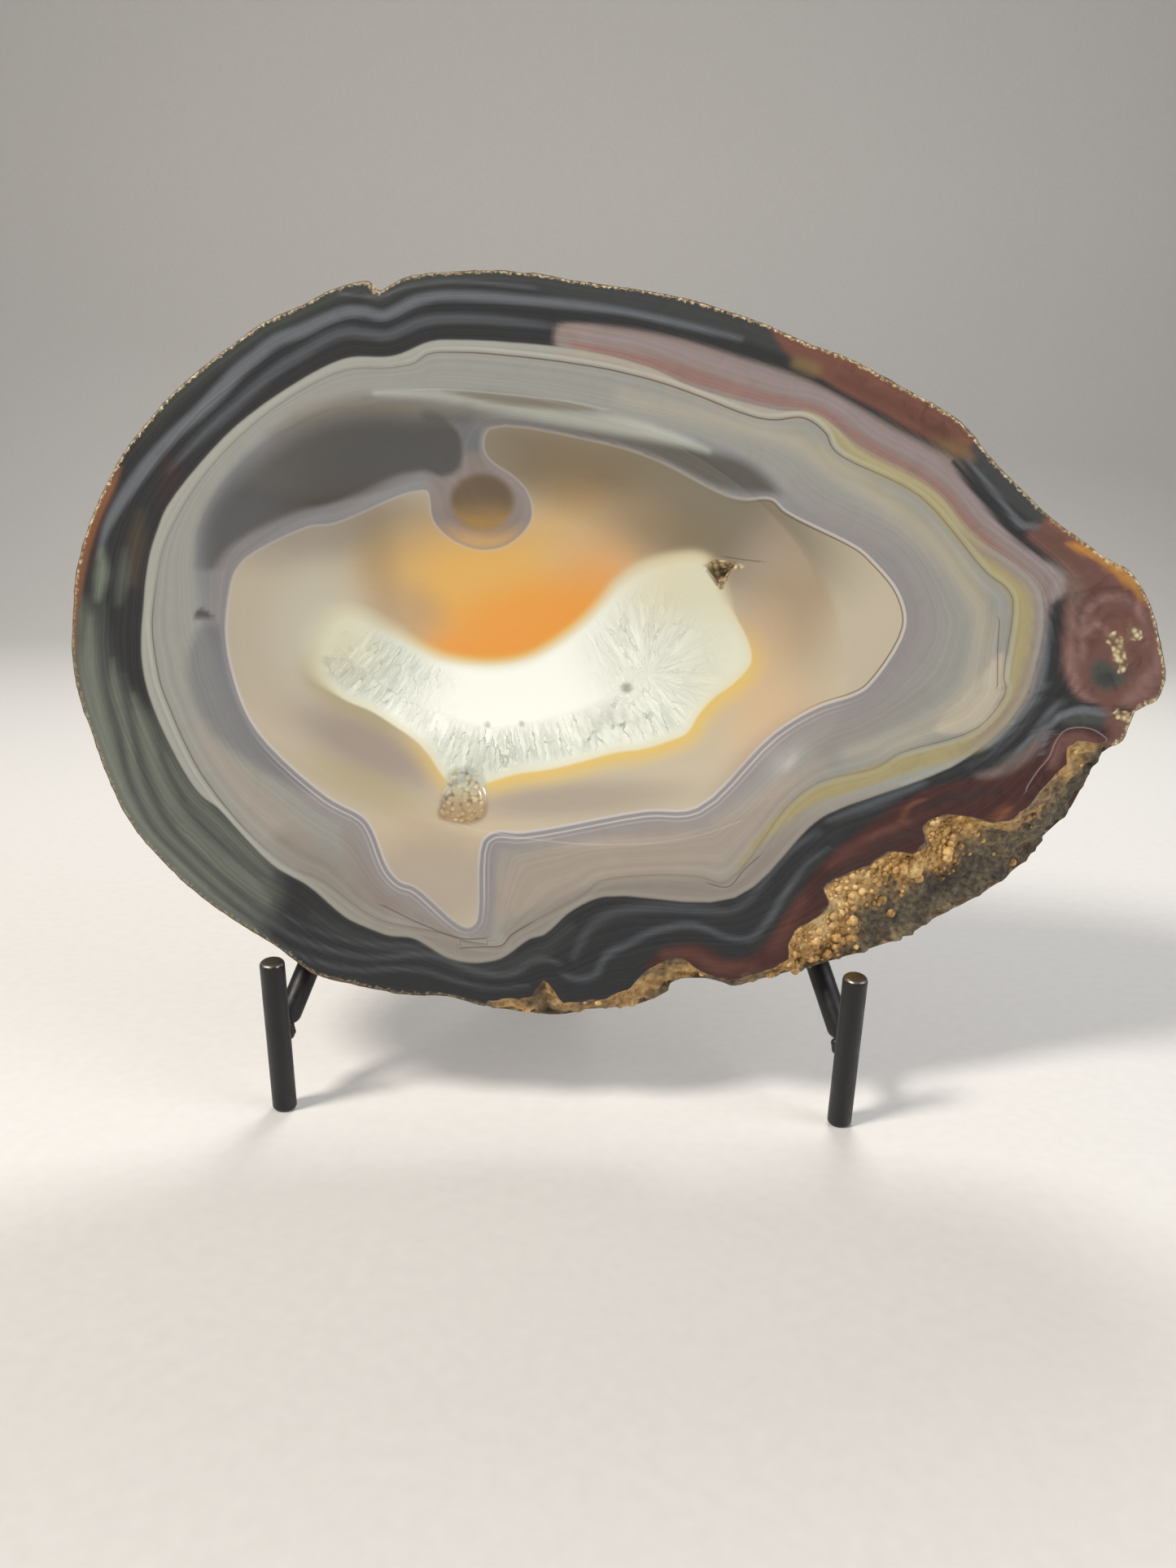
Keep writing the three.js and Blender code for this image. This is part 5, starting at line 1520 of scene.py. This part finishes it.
# %% The polish itself
quartz_ior = 1.54
smear_size = 18
smears = add(tree, "ShaderNodeTexNoise", {"Vector": place_mm, "Scale": 1 / smear_size, "Detail": 3})
polished = add(tree, "ShaderNodeMapRange", {0: smears.outputs[0], 1: 0.35, 2: 0.65, 3: 0.05, 4: 0.1})
rough = add(tree, "ShaderNodeMath", {0: at_rind, 1: grainy}, operation="MAXIMUM")
rough = add(tree, "ShaderNodeMath", {0: rough, 1: 0.5, 2: polished}, operation="MULTIPLY_ADD")
gloss = {"Base Color": colour, "Roughness": rough, "IOR": quartz_ior}
surface = add(tree, "ShaderNodeBsdfPrincipled", gloss)
add(tree, "ShaderNodeOutputMaterial", {"Surface": surface})
stone.data.materials.append(polish)
print(len(tree.nodes), "nodes in", polish.name)

# %% [markdown]
# The rind is the skin that touched the lava: dull, brown to ochre, stained in patches, with pale grains
# where quartz shows through. It scatters light in all directions, so it is rough. Its patches are as wide
# as a thumb and its grains as wide as a millimetre.

# %% Material: natural rind
rind, tree = new_material("natural_rind")
stain_size, skin_grain_size = 22, 1.6
where = add(tree, "ShaderNodeTexCoord").outputs["Object"]
stain_pattern = {"Vector": where, "Scale": per_metre(stain_size), "Detail": 5, "Roughness": 0.6}
patches = add(tree, "ShaderNodeTexNoise", stain_pattern)
grain_pattern = {"Vector": where, "Scale": per_metre(skin_grain_size), "Detail": 4, "Roughness": 0.7}
grains = add(tree, "ShaderNodeTexNoise", grain_pattern)
stain = add(tree, "ShaderNodeValToRGB", {0: patches.outputs[0]})
set_stops(stain, [(0.32, "#3f352c"), (0.46, "#6a543c"), (0.56, "#8a6c48"), (0.7, "#9d8a6c")])
pale = add(tree, "ShaderNodeMapRange", {0: grains.outputs[0], 1: 0.55, 2: 0.72, 3: 0, 4: 0.75})
dark = add(tree, "ShaderNodeMapRange", {0: grains.outputs[0], 1: 0.45, 2: 0.3, 3: 0, 4: 0.7})
skin = add(tree, "ShaderNodeMix", {"Factor": pale, "A": stain, "B": rgba("cream")}, **in_colour)
skin = add(tree, "ShaderNodeMix", {"Factor": dark, "A": skin, "B": rgba("#2e2620")}, **in_colour)
relief = add(tree, "ShaderNodeBump", {"Height": grains.outputs[0], "Distance": 0.5 * MM, "Strength": 0.8})
dull = {"Base Color": skin, "Roughness": 0.78, "IOR": 1.5, "Normal": relief}
surface = add(tree, "ShaderNodeBsdfPrincipled", dull)
add(tree, "ShaderNodeOutputMaterial", {"Surface": surface})

# %% [markdown]
# In the broken corner a crust of fine quartz grains covers the hollow. Limonite, a kind of rust, stains it
# gold beside the polish, and dust makes it grey-brown further out. The crust knows from a number on its
# points how golden it is. The lumps on it use the same recipe with a tone of their own, so one function
# makes both materials.

# %% Materials: golden crust and its lumps
mottle_size = 7
dust_stops = [(0.0, "#30291f"), (0.30, "#554a37"), (0.50, "#6e6048"), (0.72, "#917c57"), (0.95, "#b59c6a")]
gold_stops = [(0.0, "#36281a"), (0.24, "#7d582c"), (0.42, "#b6884a"), (0.64, "#d6a75d"), (0.92, "#e9c98f")]


def crust_material(name, grain_mm, golden):
    material, tree = new_material(name)
    where = add(tree, "ShaderNodeTexCoord").outputs["Object"]
    own = add(tree, "ShaderNodeAttribute", attribute_name=golden).outputs["Fac"]
    coarse = add(tree, "ShaderNodeTexNoise", {"Vector": where, "Scale": per_metre(mottle_size), "Detail": 4})
    fine = add(tree, "ShaderNodeTexNoise", {"Vector": where, "Scale": per_metre(grain_mm), "Detail": 3})
    mixed = add(tree, "ShaderNodeMath", {0: coarse.outputs[0], 1: fine.outputs[0]}, operation="ADD")
    mixed = add(tree, "ShaderNodeMath", {0: own, 1: 0.3, 2: mixed}, operation="MULTIPLY_ADD")
    level = add(tree, "ShaderNodeMapRange", {0: mixed, 1: 0.75, 2: 1.5})
    tones = []
    for stops in (dust_stops, gold_stops):
        ramp = add(tree, "ShaderNodeValToRGB", {0: level})
        set_stops(ramp, stops)
        tones.append(ramp)
    colour = add(tree, "ShaderNodeMix", {"Factor": own, "A": tones[0], "B": tones[1]}, **in_colour)
    relief = add(tree, "ShaderNodeBump", {"Height": fine.outputs[0], "Distance": 0.5 * MM, "Strength": 1})
    crumbly = {"Base Color": colour, "Roughness": 0.62, "IOR": quartz_ior, "Normal": relief}
    surface = add(tree, "ShaderNodeBsdfPrincipled", crumbly)
    add(tree, "ShaderNodeOutputMaterial", {"Surface": surface})
    return material


crust = crust_material("limonite_crust", 1.2, "golden")
lump_finish = crust_material("limonite_lumps", 0.9, "golden")
for material in (crust, rind):
    stone.data.materials.append(material)
slots = np.array(stone_slots)
stone.data.polygons.foreach_set("material_index", slots)
crest = math.radians(38)
stone.data.set_sharp_from_angle(angle=crest)
print("faces by finish:", np.bincount(slots).tolist())

# %% [markdown]
# The crust grew as round lumps, thick beside the polish and thin towards the outer edge. Geometry Nodes
# scatters points on a copy of the broken corner, puts a small ball on each, and turns it at random. The
# balls are a few dozen faces each, because there are hundreds. Every ball is pushed back until it lies
# behind the cut, since the saw would have sliced it otherwise. That step is easiest while the corner still
# lies square to the axes, so the result is moved to its place afterwards.

# %% Geometry Nodes: lumps on the broken corner
lump_inputs = [
    ("Geometry", "NodeSocketGeometry", None),
    ("Density", "NodeSocketFloat", 900000.0),
    ("Least gap", "NodeSocketFloat", 0.0008),
    ("Least radius", "NodeSocketFloat", 0.0004),
    ("Most radius", "NodeSocketFloat", 0.0012),
    ("Big place", "NodeSocketVector", None),
    ("Big radius", "NodeSocketFloat", 0.0022),
    ("Seed", "NodeSocketInt", 4),
    ("Finish", "NodeSocketMaterial", None),
]


def new_tree(name, inputs):
    tree = bpy.data.node_groups.new(name, "GeometryNodeTree")
    for label, kind, value in inputs:
        socket = tree.interface.new_socket(name=label, in_out="INPUT", socket_type=kind)
        if value is not None:
            socket.default_value = value
    tree.interface.new_socket(name="Geometry", in_out="OUTPUT", socket_type="NodeSocketGeometry")
    return tree, add(tree, "NodeGroupInput").outputs


lump_tree, given = new_tree("crust_lumps", lump_inputs)
weight = add(lump_tree, "GeometryNodeInputNamedAttribute", {"Name": "lump_share"}, data_type="FLOAT")
scatter = add(
    lump_tree,
    "GeometryNodeDistributePointsOnFaces",
    {
        "Mesh": given["Geometry"],
        "Distance Min": given["Least gap"],
        "Density Max": given["Density"],
        "Density Factor": weight,
        "Seed": given["Seed"],
    },
    distribute_method="POISSON",
)
chance = add(lump_tree, "FunctionNodeRandomValue", {"Seed": given["Seed"]}, data_type="FLOAT")
rare = add(lump_tree, "ShaderNodeMath", {0: chance, 1: 3}, operation="POWER")
size = add(
    lump_tree,
    "ShaderNodeMapRange",
    {"Value": rare, "To Min": given["Least radius"], "To Max": given["Most radius"]},
)
at = add(lump_tree, "ShaderNodeSeparateXYZ", {0: add(lump_tree, "GeometryNodeInputPosition")}).outputs
behind_cut = add(lump_tree, "ShaderNodeMath", {0: size, 1: least_crust_depth * MM}, operation="ADD")
depth = add(lump_tree, "ShaderNodeMath", {0: at["Y"], 1: behind_cut}, operation="MAXIMUM")
moved = add(lump_tree, "ShaderNodeCombineXYZ", {"X": at["X"], "Y": depth, "Z": at["Z"]})
points = add(
    lump_tree, "GeometryNodeSetPosition", {"Geometry": scatter.outputs["Points"], "Position": moved}
)
any_turn = {"Max": (math.tau,) * 3, "Seed": 1}
turn = add(lump_tree, "FunctionNodeRandomValue", any_turn, data_type="FLOAT_VECTOR")
ball = add(lump_tree, "GeometryNodeMeshIcoSphere", {"Radius": 1, "Subdivisions": 2}).outputs["Mesh"]
on_points = {"Points": points, "Instance": ball, "Rotation": turn, "Scale": size}
balls = add(lump_tree, "GeometryNodeInstanceOnPoints", on_points)
tone = add(lump_tree, "FunctionNodeRandomValue", {2: 0.55, 3: 1, "Seed": 2}, data_type="FLOAT")
toned = add(
    lump_tree,
    "GeometryNodeStoreNamedAttribute",
    {"Geometry": balls, "Name": "golden", "Value": tone},
    data_type="FLOAT",
    domain="INSTANCE",
)
real = add(lump_tree, "GeometryNodeRealizeInstances", {"Geometry": toned})
big_ball = add(lump_tree, "GeometryNodeMeshIcoSphere", {"Radius": given["Big radius"], "Subdivisions": 4})
big_ball = add(lump_tree, "GeometryNodeTransform", {"Geometry": big_ball, "Translation": given["Big place"]})
big_golden = {"Geometry": big_ball, "Name": "golden", "Value": 0.9}
big_ball = add(lump_tree, "GeometryNodeStoreNamedAttribute", big_golden, data_type="FLOAT")
all_balls = add(lump_tree, "GeometryNodeJoinGeometry")
for part in (real, big_ball):
    lump_tree.links.new(part.outputs["Geometry"], all_balls.inputs["Geometry"])
smooth = add(lump_tree, "GeometryNodeSetShadeSmooth", {"Geometry": all_balls})
finished = add(lump_tree, "GeometryNodeSetMaterial", {"Geometry": smooth, "Material": given["Finish"]})
add(lump_tree, "NodeGroupOutput", {"Geometry": finished})


def grow(piece, tree, **inputs):
    """Runs a tree on a piece, with its named inputs, and leaves the result as a plain mesh."""
    modifier = piece.modifiers.new(tree.name, "NODES")
    modifier.node_group = tree
    named = {item.name: item.identifier for item in tree.interface.items_tree if item.in_out == "INPUT"}
    for label, value in inputs.items():
        modifier[named[label.replace("_", " ")]] = value
    evaluated = piece.evaluated_get(bpy.context.evaluated_depsgraph_get())
    mesh = bpy.data.meshes.new_from_object(evaluated)
    piece.modifiers.clear()
    piece.data = mesh
    return piece


bed_of = np.array([face for face, slot in zip(stone_faces, stone_slots) if slot == zone_slots["crust"]])
bed_points, bed_index = np.unique(bed_of, return_inverse=True)
bed = new_piece("crust_lumps", stone_points[bed_points] * MM, bed_index.reshape(bed_of.shape).tolist())
crust_ring = slice(front_count, front_count + crust_ring_count)
crust_points = stone_points[crust_ring]
crust_x, crust_z = crust_points[:, 0], crust_points[:, 2]
from_polish = np.repeat(crust_shares, columns) * np.tile(rim_radius - polish_stop, len(crust_shares))
in_corner = soft_step(31, 37, crust_x) * (1 - soft_step(74, 79, crust_x))
golden_width = mix(7.0, 13.0, in_corner)
near_polish = 1 - soft_step(0.5 * golden_width, golden_width, from_polish)
clumps = soft_step(-0.45, -0.05, grain(crust_points, 5.5, 9.0))
is_broken = np.tile(broken, len(crust_shares))
golden = np.zeros(len(stone_points))
golden[crust_ring] = is_broken * near_polish * (0.25 + 0.5 * clumps) * mix(0.8, 1.0, in_corner)
keep(stone, "golden", "FLOAT", golden)
lump_share = np.zeros(len(stone_points))
inner_part = np.repeat(crust_shares, columns) < 0.95
lump_share[crust_ring] = is_broken * inner_part * (0.015 + near_polish * clumps * mix(0.05, 1.0, in_corner))
keep(bed, "lump_share", "FLOAT", lump_share[bed_points])
big_x, big_z = 62.8, -44.3
big_at = crust_points[np.argmin((crust_x - big_x) ** 2 + (crust_z - big_z) ** 2)]
grow(bed, lump_tree, Finish=lump_finish, Big_place=[float(v) * MM for v in big_at])
lump_points = np.zeros(len(bed.data.vertices) * 3)
bed.data.vertices.foreach_get("co", lump_points)
bed.data.vertices.foreach_set("co", place(lump_points.reshape(-1, 3) / MM).ravel())
print("lumps:", len(bed.data.polygons) // 80, "of 80 faces")

# %% [markdown]
# The easel is wrought bar, cut, bent and welded. Each bar here is turned like a spindle: a circle of points
# is repeated along its length and drawn in at the ends, where a file took the edge off. A foot is cut
# level, so its end is sheared until it lies flat on the table.

# %% Sizes of the easel
bar_radius = 2.5
bar_sides = 32
end_rounding = 0.9
easel_middle = -9.0
post_spacing = 117.0
post_length = 35.3
post_lean = math.radians(8)
arm_foot_height = 18.0
arm_top_height = 122.0
arm_back_slope = 0.65
arm_inward_slope = 0.354
brace_height = 74.0
brace_overhang = 5.0
top_bar_overhang = 6.0
rear_leg_top_rise = 5.0
rear_foot_inset = 2.75
weld_gap = 0.3
half_depth = 55.0

post_forward = post_length * math.sin(post_lean)
post_height = post_length * math.cos(post_lean)
front_foot_y = -half_depth + post_forward + bar_radius * math.cos(post_lean)
arm_behind_post = bar_radius / math.cos(post_lean) + bar_radius * math.hypot(1, arm_back_slope) + weld_gap
arm_foot_y = front_foot_y - arm_foot_height * math.tan(post_lean) + arm_behind_post
top_bar_height = arm_top_height + bar_radius + weld_gap


def arm_point(side, height):
    rise = height - arm_foot_height
    sideways = side * (post_spacing / 2 - arm_inward_slope * rise)
    return np.array([easel_middle + sideways, arm_foot_y + arm_back_slope * rise, height])


def crossbar(half_length, y, height):
    return [np.array([easel_middle + side * half_length, y, height]) for side in (-1, 1)]


arm_top = arm_point(1, arm_top_height)
brace_at = arm_point(1, brace_height)
brace_y = brace_at[1] + 2 * bar_radius * math.hypot(1, arm_back_slope) + weld_gap
leg_foot = np.array([easel_middle, half_depth - rear_foot_inset, 0])
leg_top_y = arm_top[1] + 2 * bar_radius + weld_gap
leg_top = np.array([easel_middle, leg_top_y, top_bar_height + rear_leg_top_rise])
top_half = arm_top[0] - easel_middle + top_bar_overhang
brace_half = brace_at[0] - easel_middle + brace_overhang
bars = {
    "top_crossbar": (*crossbar(top_half, arm_top[1], top_bar_height), False, False),
    "middle_crossbar": (*crossbar(brace_half, brace_y, brace_height), False, False),
    "rear_leg": (leg_foot, leg_top, True, False),
}
for side, word in ((-1, "left"), (1, "right")):
    post_x = easel_middle + side * post_spacing / 2
    foot = np.array([post_x, front_foot_y, 0])
    tip = np.array([post_x, front_foot_y - post_forward, post_height])
    bars[f"front_post_{word}"] = (foot, tip, True, False)
    arm_ends = [arm_point(side, height) for height in (arm_foot_height, arm_top_height)]
    bars[f"back_arm_{word}"] = (*arm_ends, True, True)
print(len(bars), "bars")

# %% Turn the bars
rounding_steps = 5
length_steps = 24


def turned_bar(start, end, level_start, level_end):
    length = np.linalg.norm(end - start)
    axis = (end - start) / length
    side = np.cross(axis, [0, 1, 0] if abs(axis[2]) > 0.5 else [0, 0, 1])
    side /= np.linalg.norm(side)
    other = np.cross(axis, side)
    quarter = np.linspace(0, math.pi / 2, rounding_steps + 1)
    profile = [
        (bar_radius - end_rounding * (1 - math.sin(q)), end_rounding * (1 - math.cos(q))) for q in quarter
    ]
    steps = np.linspace(end_rounding, length - end_rounding, length_steps)[1:-1]
    middle = [(bar_radius, along) for along in steps]
    far = [(radius, length - along) for radius, along in profile[::-1]]
    turns = np.arange(bar_sides) * math.tau / bar_sides
    points = [start]
    for radius, along in profile + middle + far:
        circle = radius * (np.cos(turns)[:, None] * side + np.sin(turns)[:, None] * other)
        if (level_start and along < length / 2) or (level_end and along > length / 2):
            circle = circle - circle[:, 2:] / axis[2] * axis
        points.extend(start + axis * along + circle)
    points.append(end)
    ring_total = len(profile + middle + far)
    faces = [(0, 1 + (i + 1) % bar_sides, 1 + i) for i in range(bar_sides)]
    for k in range(ring_total - 1):
        a, b = 1 + k * bar_sides, 1 + (k + 1) * bar_sides
        for i in range(bar_sides):
            j = (i + 1) % bar_sides
            faces.append((a + i, a + j, b + j, b + i))
    last = 1 + (ring_total - 1) * bar_sides
    faces += [(last + i, last + (i + 1) % bar_sides, len(points) - 1) for i in range(bar_sides)]
    return np.array(points), faces


easel_pieces = []
for name, (start, end, level_start, level_end) in bars.items():
    points, faces = turned_bar(start, end, level_start, level_end)
    piece = new_piece(f"{name}_bar", points * MM, faces)
    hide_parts(name)
    easel_pieces.append(piece)
    print(name, "length", round(float(np.linalg.norm(end - start)), 1), "mm")

# %% [markdown]
# The bars are sprayed with satin black enamel. It is a dielectric film, so it reflects about as much as
# plastic, and the hammered iron under it leaves shallow dents. Hands and stones have rubbed the tips of the
# posts down to bare steel, which is a metal and tints its own reflections.

# %% Material: satin black enamel on iron
enamel, tree = new_material("satin_black_enamel")
dent_size, speck_size = 3.5, 0.9
where = add(tree, "ShaderNodeTexCoord").outputs["Object"]
dents = add(tree, "ShaderNodeTexNoise", {"Vector": where, "Scale": per_metre(dent_size), "Detail": 2})
specks = add(tree, "ShaderNodeTexNoise", {"Vector": where, "Scale": per_metre(speck_size), "Detail": 3})
shade = add(tree, "ShaderNodeMapRange", {0: dents.outputs[0], 1: 0.3, 2: 0.7, 3: 0.36, 4: 0.52})
tints = {"Factor": dents.outputs[0], "A": rgba("#0d0d0e"), "B": rgba("#1c1b1b")}
tint = add(tree, "ShaderNodeMix", tints, **in_colour)
wear = add(tree, "ShaderNodeAttribute", attribute_name="wear").outputs["Fac"]
uneven = add(tree, "ShaderNodeMath", {0: specks.outputs[0], 1: 0.9, 2: -0.45}, operation="MULTIPLY_ADD")
worn = add(tree, "ShaderNodeMath", {0: wear, 1: uneven}, operation="ADD")
bare = add(tree, "ShaderNodeMapRange", {0: worn, 1: 0.45, 2: 0.65}, **smooth_step)
relief = add(tree, "ShaderNodeBump", {"Height": dents.outputs[0], "Distance": 0.25 * MM, "Strength": 0.5})
film = {"Base Color": tint, "Roughness": shade, "IOR": 1.5, "Normal": relief}
film = add(tree, "ShaderNodeBsdfPrincipled", film)
steel = {"Base Color": rgba("#8d867c"), "Metallic": 1, "Roughness": 0.38, "Normal": relief}
steel = add(tree, "ShaderNodeBsdfPrincipled", steel)
surface = add(tree, "ShaderNodeMixShader", {0: bare, 1: film, 2: steel})
add(tree, "ShaderNodeOutputMaterial", {"Surface": surface})

tip_wear_length = 1.6
for piece in easel_pieces:
    piece.data.materials.append(enamel)
    heights = np.zeros(len(piece.data.vertices) * 3)
    piece.data.vertices.foreach_get("co", heights)
    heights = heights[2::3] / MM
    is_post = piece.name.startswith("front_post")
    worn_at = soft_step(post_height - tip_wear_length, post_height, heights) if is_post else 0 * heights
    keep(piece, "wear", "FLOAT", 0.9 * worn_at)

# %% [markdown]
# Where two bars cross, the smith laid a short weld: a bead of overlapping drops around the place where they
# touch. Drops along a path are a job for Geometry Nodes. Each weld is drawn as a small ring of edges
# between its two bars, and the tree turns the rings into evenly spaced drops of slightly different sizes.

# %% Geometry Nodes: weld beads
weld_inputs = [
    ("Geometry", "NodeSocketGeometry", None),
    ("Spacing", "NodeSocketFloat", 0.0009),
    ("Drop radius", "NodeSocketFloat", 0.0010),
    ("Seed", "NodeSocketInt", 7),
    ("Finish", "NodeSocketMaterial", None),
]
weld_tree, given = new_tree("weld_beads", weld_inputs)
path = add(weld_tree, "GeometryNodeMeshToCurve", {"Mesh": given["Geometry"]})
every_drop = {"Curve": path, "Length": given["Spacing"]}
stops = add(weld_tree, "GeometryNodeCurveToPoints", every_drop, mode="LENGTH")
drop_sizes = {2: 0.75, 3: 1.15, "Seed": given["Seed"]}
uneven = add(weld_tree, "FunctionNodeRandomValue", drop_sizes, data_type="FLOAT")
size = add(weld_tree, "ShaderNodeMath", {0: uneven, 1: given["Drop radius"]}, operation="MULTIPLY")
drop = add(weld_tree, "GeometryNodeMeshIcoSphere", {"Radius": 1, "Subdivisions": 3}).outputs["Mesh"]
drops = add(
    weld_tree,
    "GeometryNodeInstanceOnPoints",
    {"Points": stops.outputs["Points"], "Instance": drop, "Scale": size},
)
real = add(weld_tree, "GeometryNodeRealizeInstances", {"Geometry": drops})
smooth = add(weld_tree, "GeometryNodeSetShadeSmooth", {"Geometry": real})
finished = add(weld_tree, "GeometryNodeSetMaterial", {"Geometry": smooth, "Material": given["Finish"]})
add(weld_tree, "NodeGroupOutput", {"Geometry": finished})

# %% Lay the welds
weld_ring_radius = 1.9
weld_ring_points = 12
joints = [
    ("front_post_left", "back_arm_left", 19.5),
    ("front_post_right", "back_arm_right", 19.5),
    ("back_arm_left", "middle_crossbar", brace_height),
    ("back_arm_right", "middle_crossbar", brace_height),
    ("back_arm_left", "top_crossbar", arm_top_height),
    ("back_arm_right", "top_crossbar", arm_top_height),
    ("rear_leg", "top_crossbar", top_bar_height),
]


def nearest_on(bar, point):
    start, end = bars[bar][:2]
    axis = (end - start) / np.linalg.norm(end - start)
    return start + axis * np.clip(np.dot(point - start, axis), 0, np.linalg.norm(end - start))


def at_height(bar, height):
    start, end = bars[bar][:2]
    share = np.clip((height - start[2]) / (end[2] - start[2]), 0, 1)
    return mix(start, end, share)


weld_points, weld_edges = [], []
for first, second, height in joints:
    on_first = at_height(first, height)
    on_second = nearest_on(second, on_first)
    on_first = nearest_on(first, on_second)
    between = on_second - on_first
    middle = (on_first + on_second) / 2
    normal = between / np.linalg.norm(between)
    side = np.cross(normal, [1, 0, 0] if abs(normal[0]) < 0.7 else [0, 0, 1])
    side /= np.linalg.norm(side)
    other = np.cross(normal, side)
    base = len(weld_points)
    for i in range(weld_ring_points):
        turn = math.tau * i / weld_ring_points
        weld_points.append(middle + weld_ring_radius * (math.cos(turn) * side + math.sin(turn) * other))
        weld_edges.append((base + i, base + (i + 1) % weld_ring_points))
welds = new_piece("welds", np.array(weld_points) * MM, [], weld_edges)
grow(welds, weld_tree, Finish=enamel)
print("welds:", len(joints), "with", len(welds.data.polygons), "faces")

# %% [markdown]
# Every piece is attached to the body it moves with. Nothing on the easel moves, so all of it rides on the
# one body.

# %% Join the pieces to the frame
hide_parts("agate")
for piece in (stone, bed):
    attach(piece, "root")
for piece in (*easel_pieces, welds):
    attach(piece, "root")
print(len(easel_pieces) + 3, "pieces")

# %% [markdown]
# The set is a sheet of pale paper that lies flat and then sweeps up behind the object, so that no horizon
# shows. The polished face leans back, so it mirrors what is in front of it and a little above. The lights
# stand outside that direction. Blacks in the stone stay black, and only the dish catches a soft glint.

# %% Floor and sweep
floor_front, floor_back, sweep_radius, sweep_top, floor_half = -2500, 750, 500, 1900, 2600
sweep_steps = 24
arc = np.linspace(0, math.pi / 2, sweep_steps)
run = [(floor_front, 0.0)]
run += [(floor_back + sweep_radius * math.sin(a), sweep_radius * (1 - math.cos(a))) for a in arc]
run += [(floor_back + sweep_radius, sweep_top)]
floor_points = [(side * floor_half, y, z) for y, z in run for side in (-1, 1)]
floor_faces = [(2 * i, 2 * i + 1, 2 * i + 3, 2 * i + 2) for i in range(len(run) - 1)]
floor = new_piece("paper_sweep", np.array(floor_points) * MM, floor_faces)
paper, tree = new_material("pale_matte_paper")
where = add(tree, "ShaderNodeTexCoord").outputs["Object"]
pulp = add(tree, "ShaderNodeTexNoise", {"Vector": where, "Scale": per_metre(3), "Detail": 4})
paper_tints = {"Factor": pulp.outputs[0], "A": rgba("#d4d1cc"), "B": rgba("#dedbd6")}
paper_tint = add(tree, "ShaderNodeMix", paper_tints, **in_colour)
surface = add(tree, "ShaderNodeBsdfPrincipled", {"Base Color": paper_tint, "Roughness": 0.9, "IOR": 1.45})
add(tree, "ShaderNodeOutputMaterial", {"Surface": surface})
floor.data.materials.append(paper)
floor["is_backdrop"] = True
print("sweep faces:", len(floor_faces))

# %% Lights
look_at = Vector((0, -20, 90)) * MM
lamps = [
    ("key", (-620, -520, 900), 260, 12.0, "#fff8f0"),
    ("fill", (760, -420, 520), 700, 3.6, "#f4f7ff"),
    ("rim", (120, 620, 760), 420, 5.0, "#ffffff"),
]
for name, spot_at, size_mm, watts, hue in lamps:
    lamp = bpy.data.lights.new(name, "AREA")
    lamp.shape = "DISK"
    lamp.size = size_mm * MM
    lamp.energy = watts
    lamp.color = linear(hue)
    holder = bpy.data.objects.new(name, lamp)
    holder.location = Vector(spot_at) * MM
    holder.rotation_euler = (look_at - holder.location).to_track_quat("-Z", "Y").to_euler()
    scene.collection.objects.link(holder)
world = bpy.data.worlds.new("studio")
world.use_nodes = True
world.node_tree.nodes["Background"].inputs["Color"].default_value = rgba("#c9ccd2")
world.node_tree.nodes["Background"].inputs["Strength"].default_value = 0.3
scene.world = world
scene.view_settings.view_transform = "Standard"
print(len(lamps), "lamps")

# %% [markdown]
# The last cell prints the size of the dressed model in millimetres.

# %% Finish
low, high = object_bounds()
print("dressed box in mm:", [round(v / MM, 1) for v in (*low, *high)])
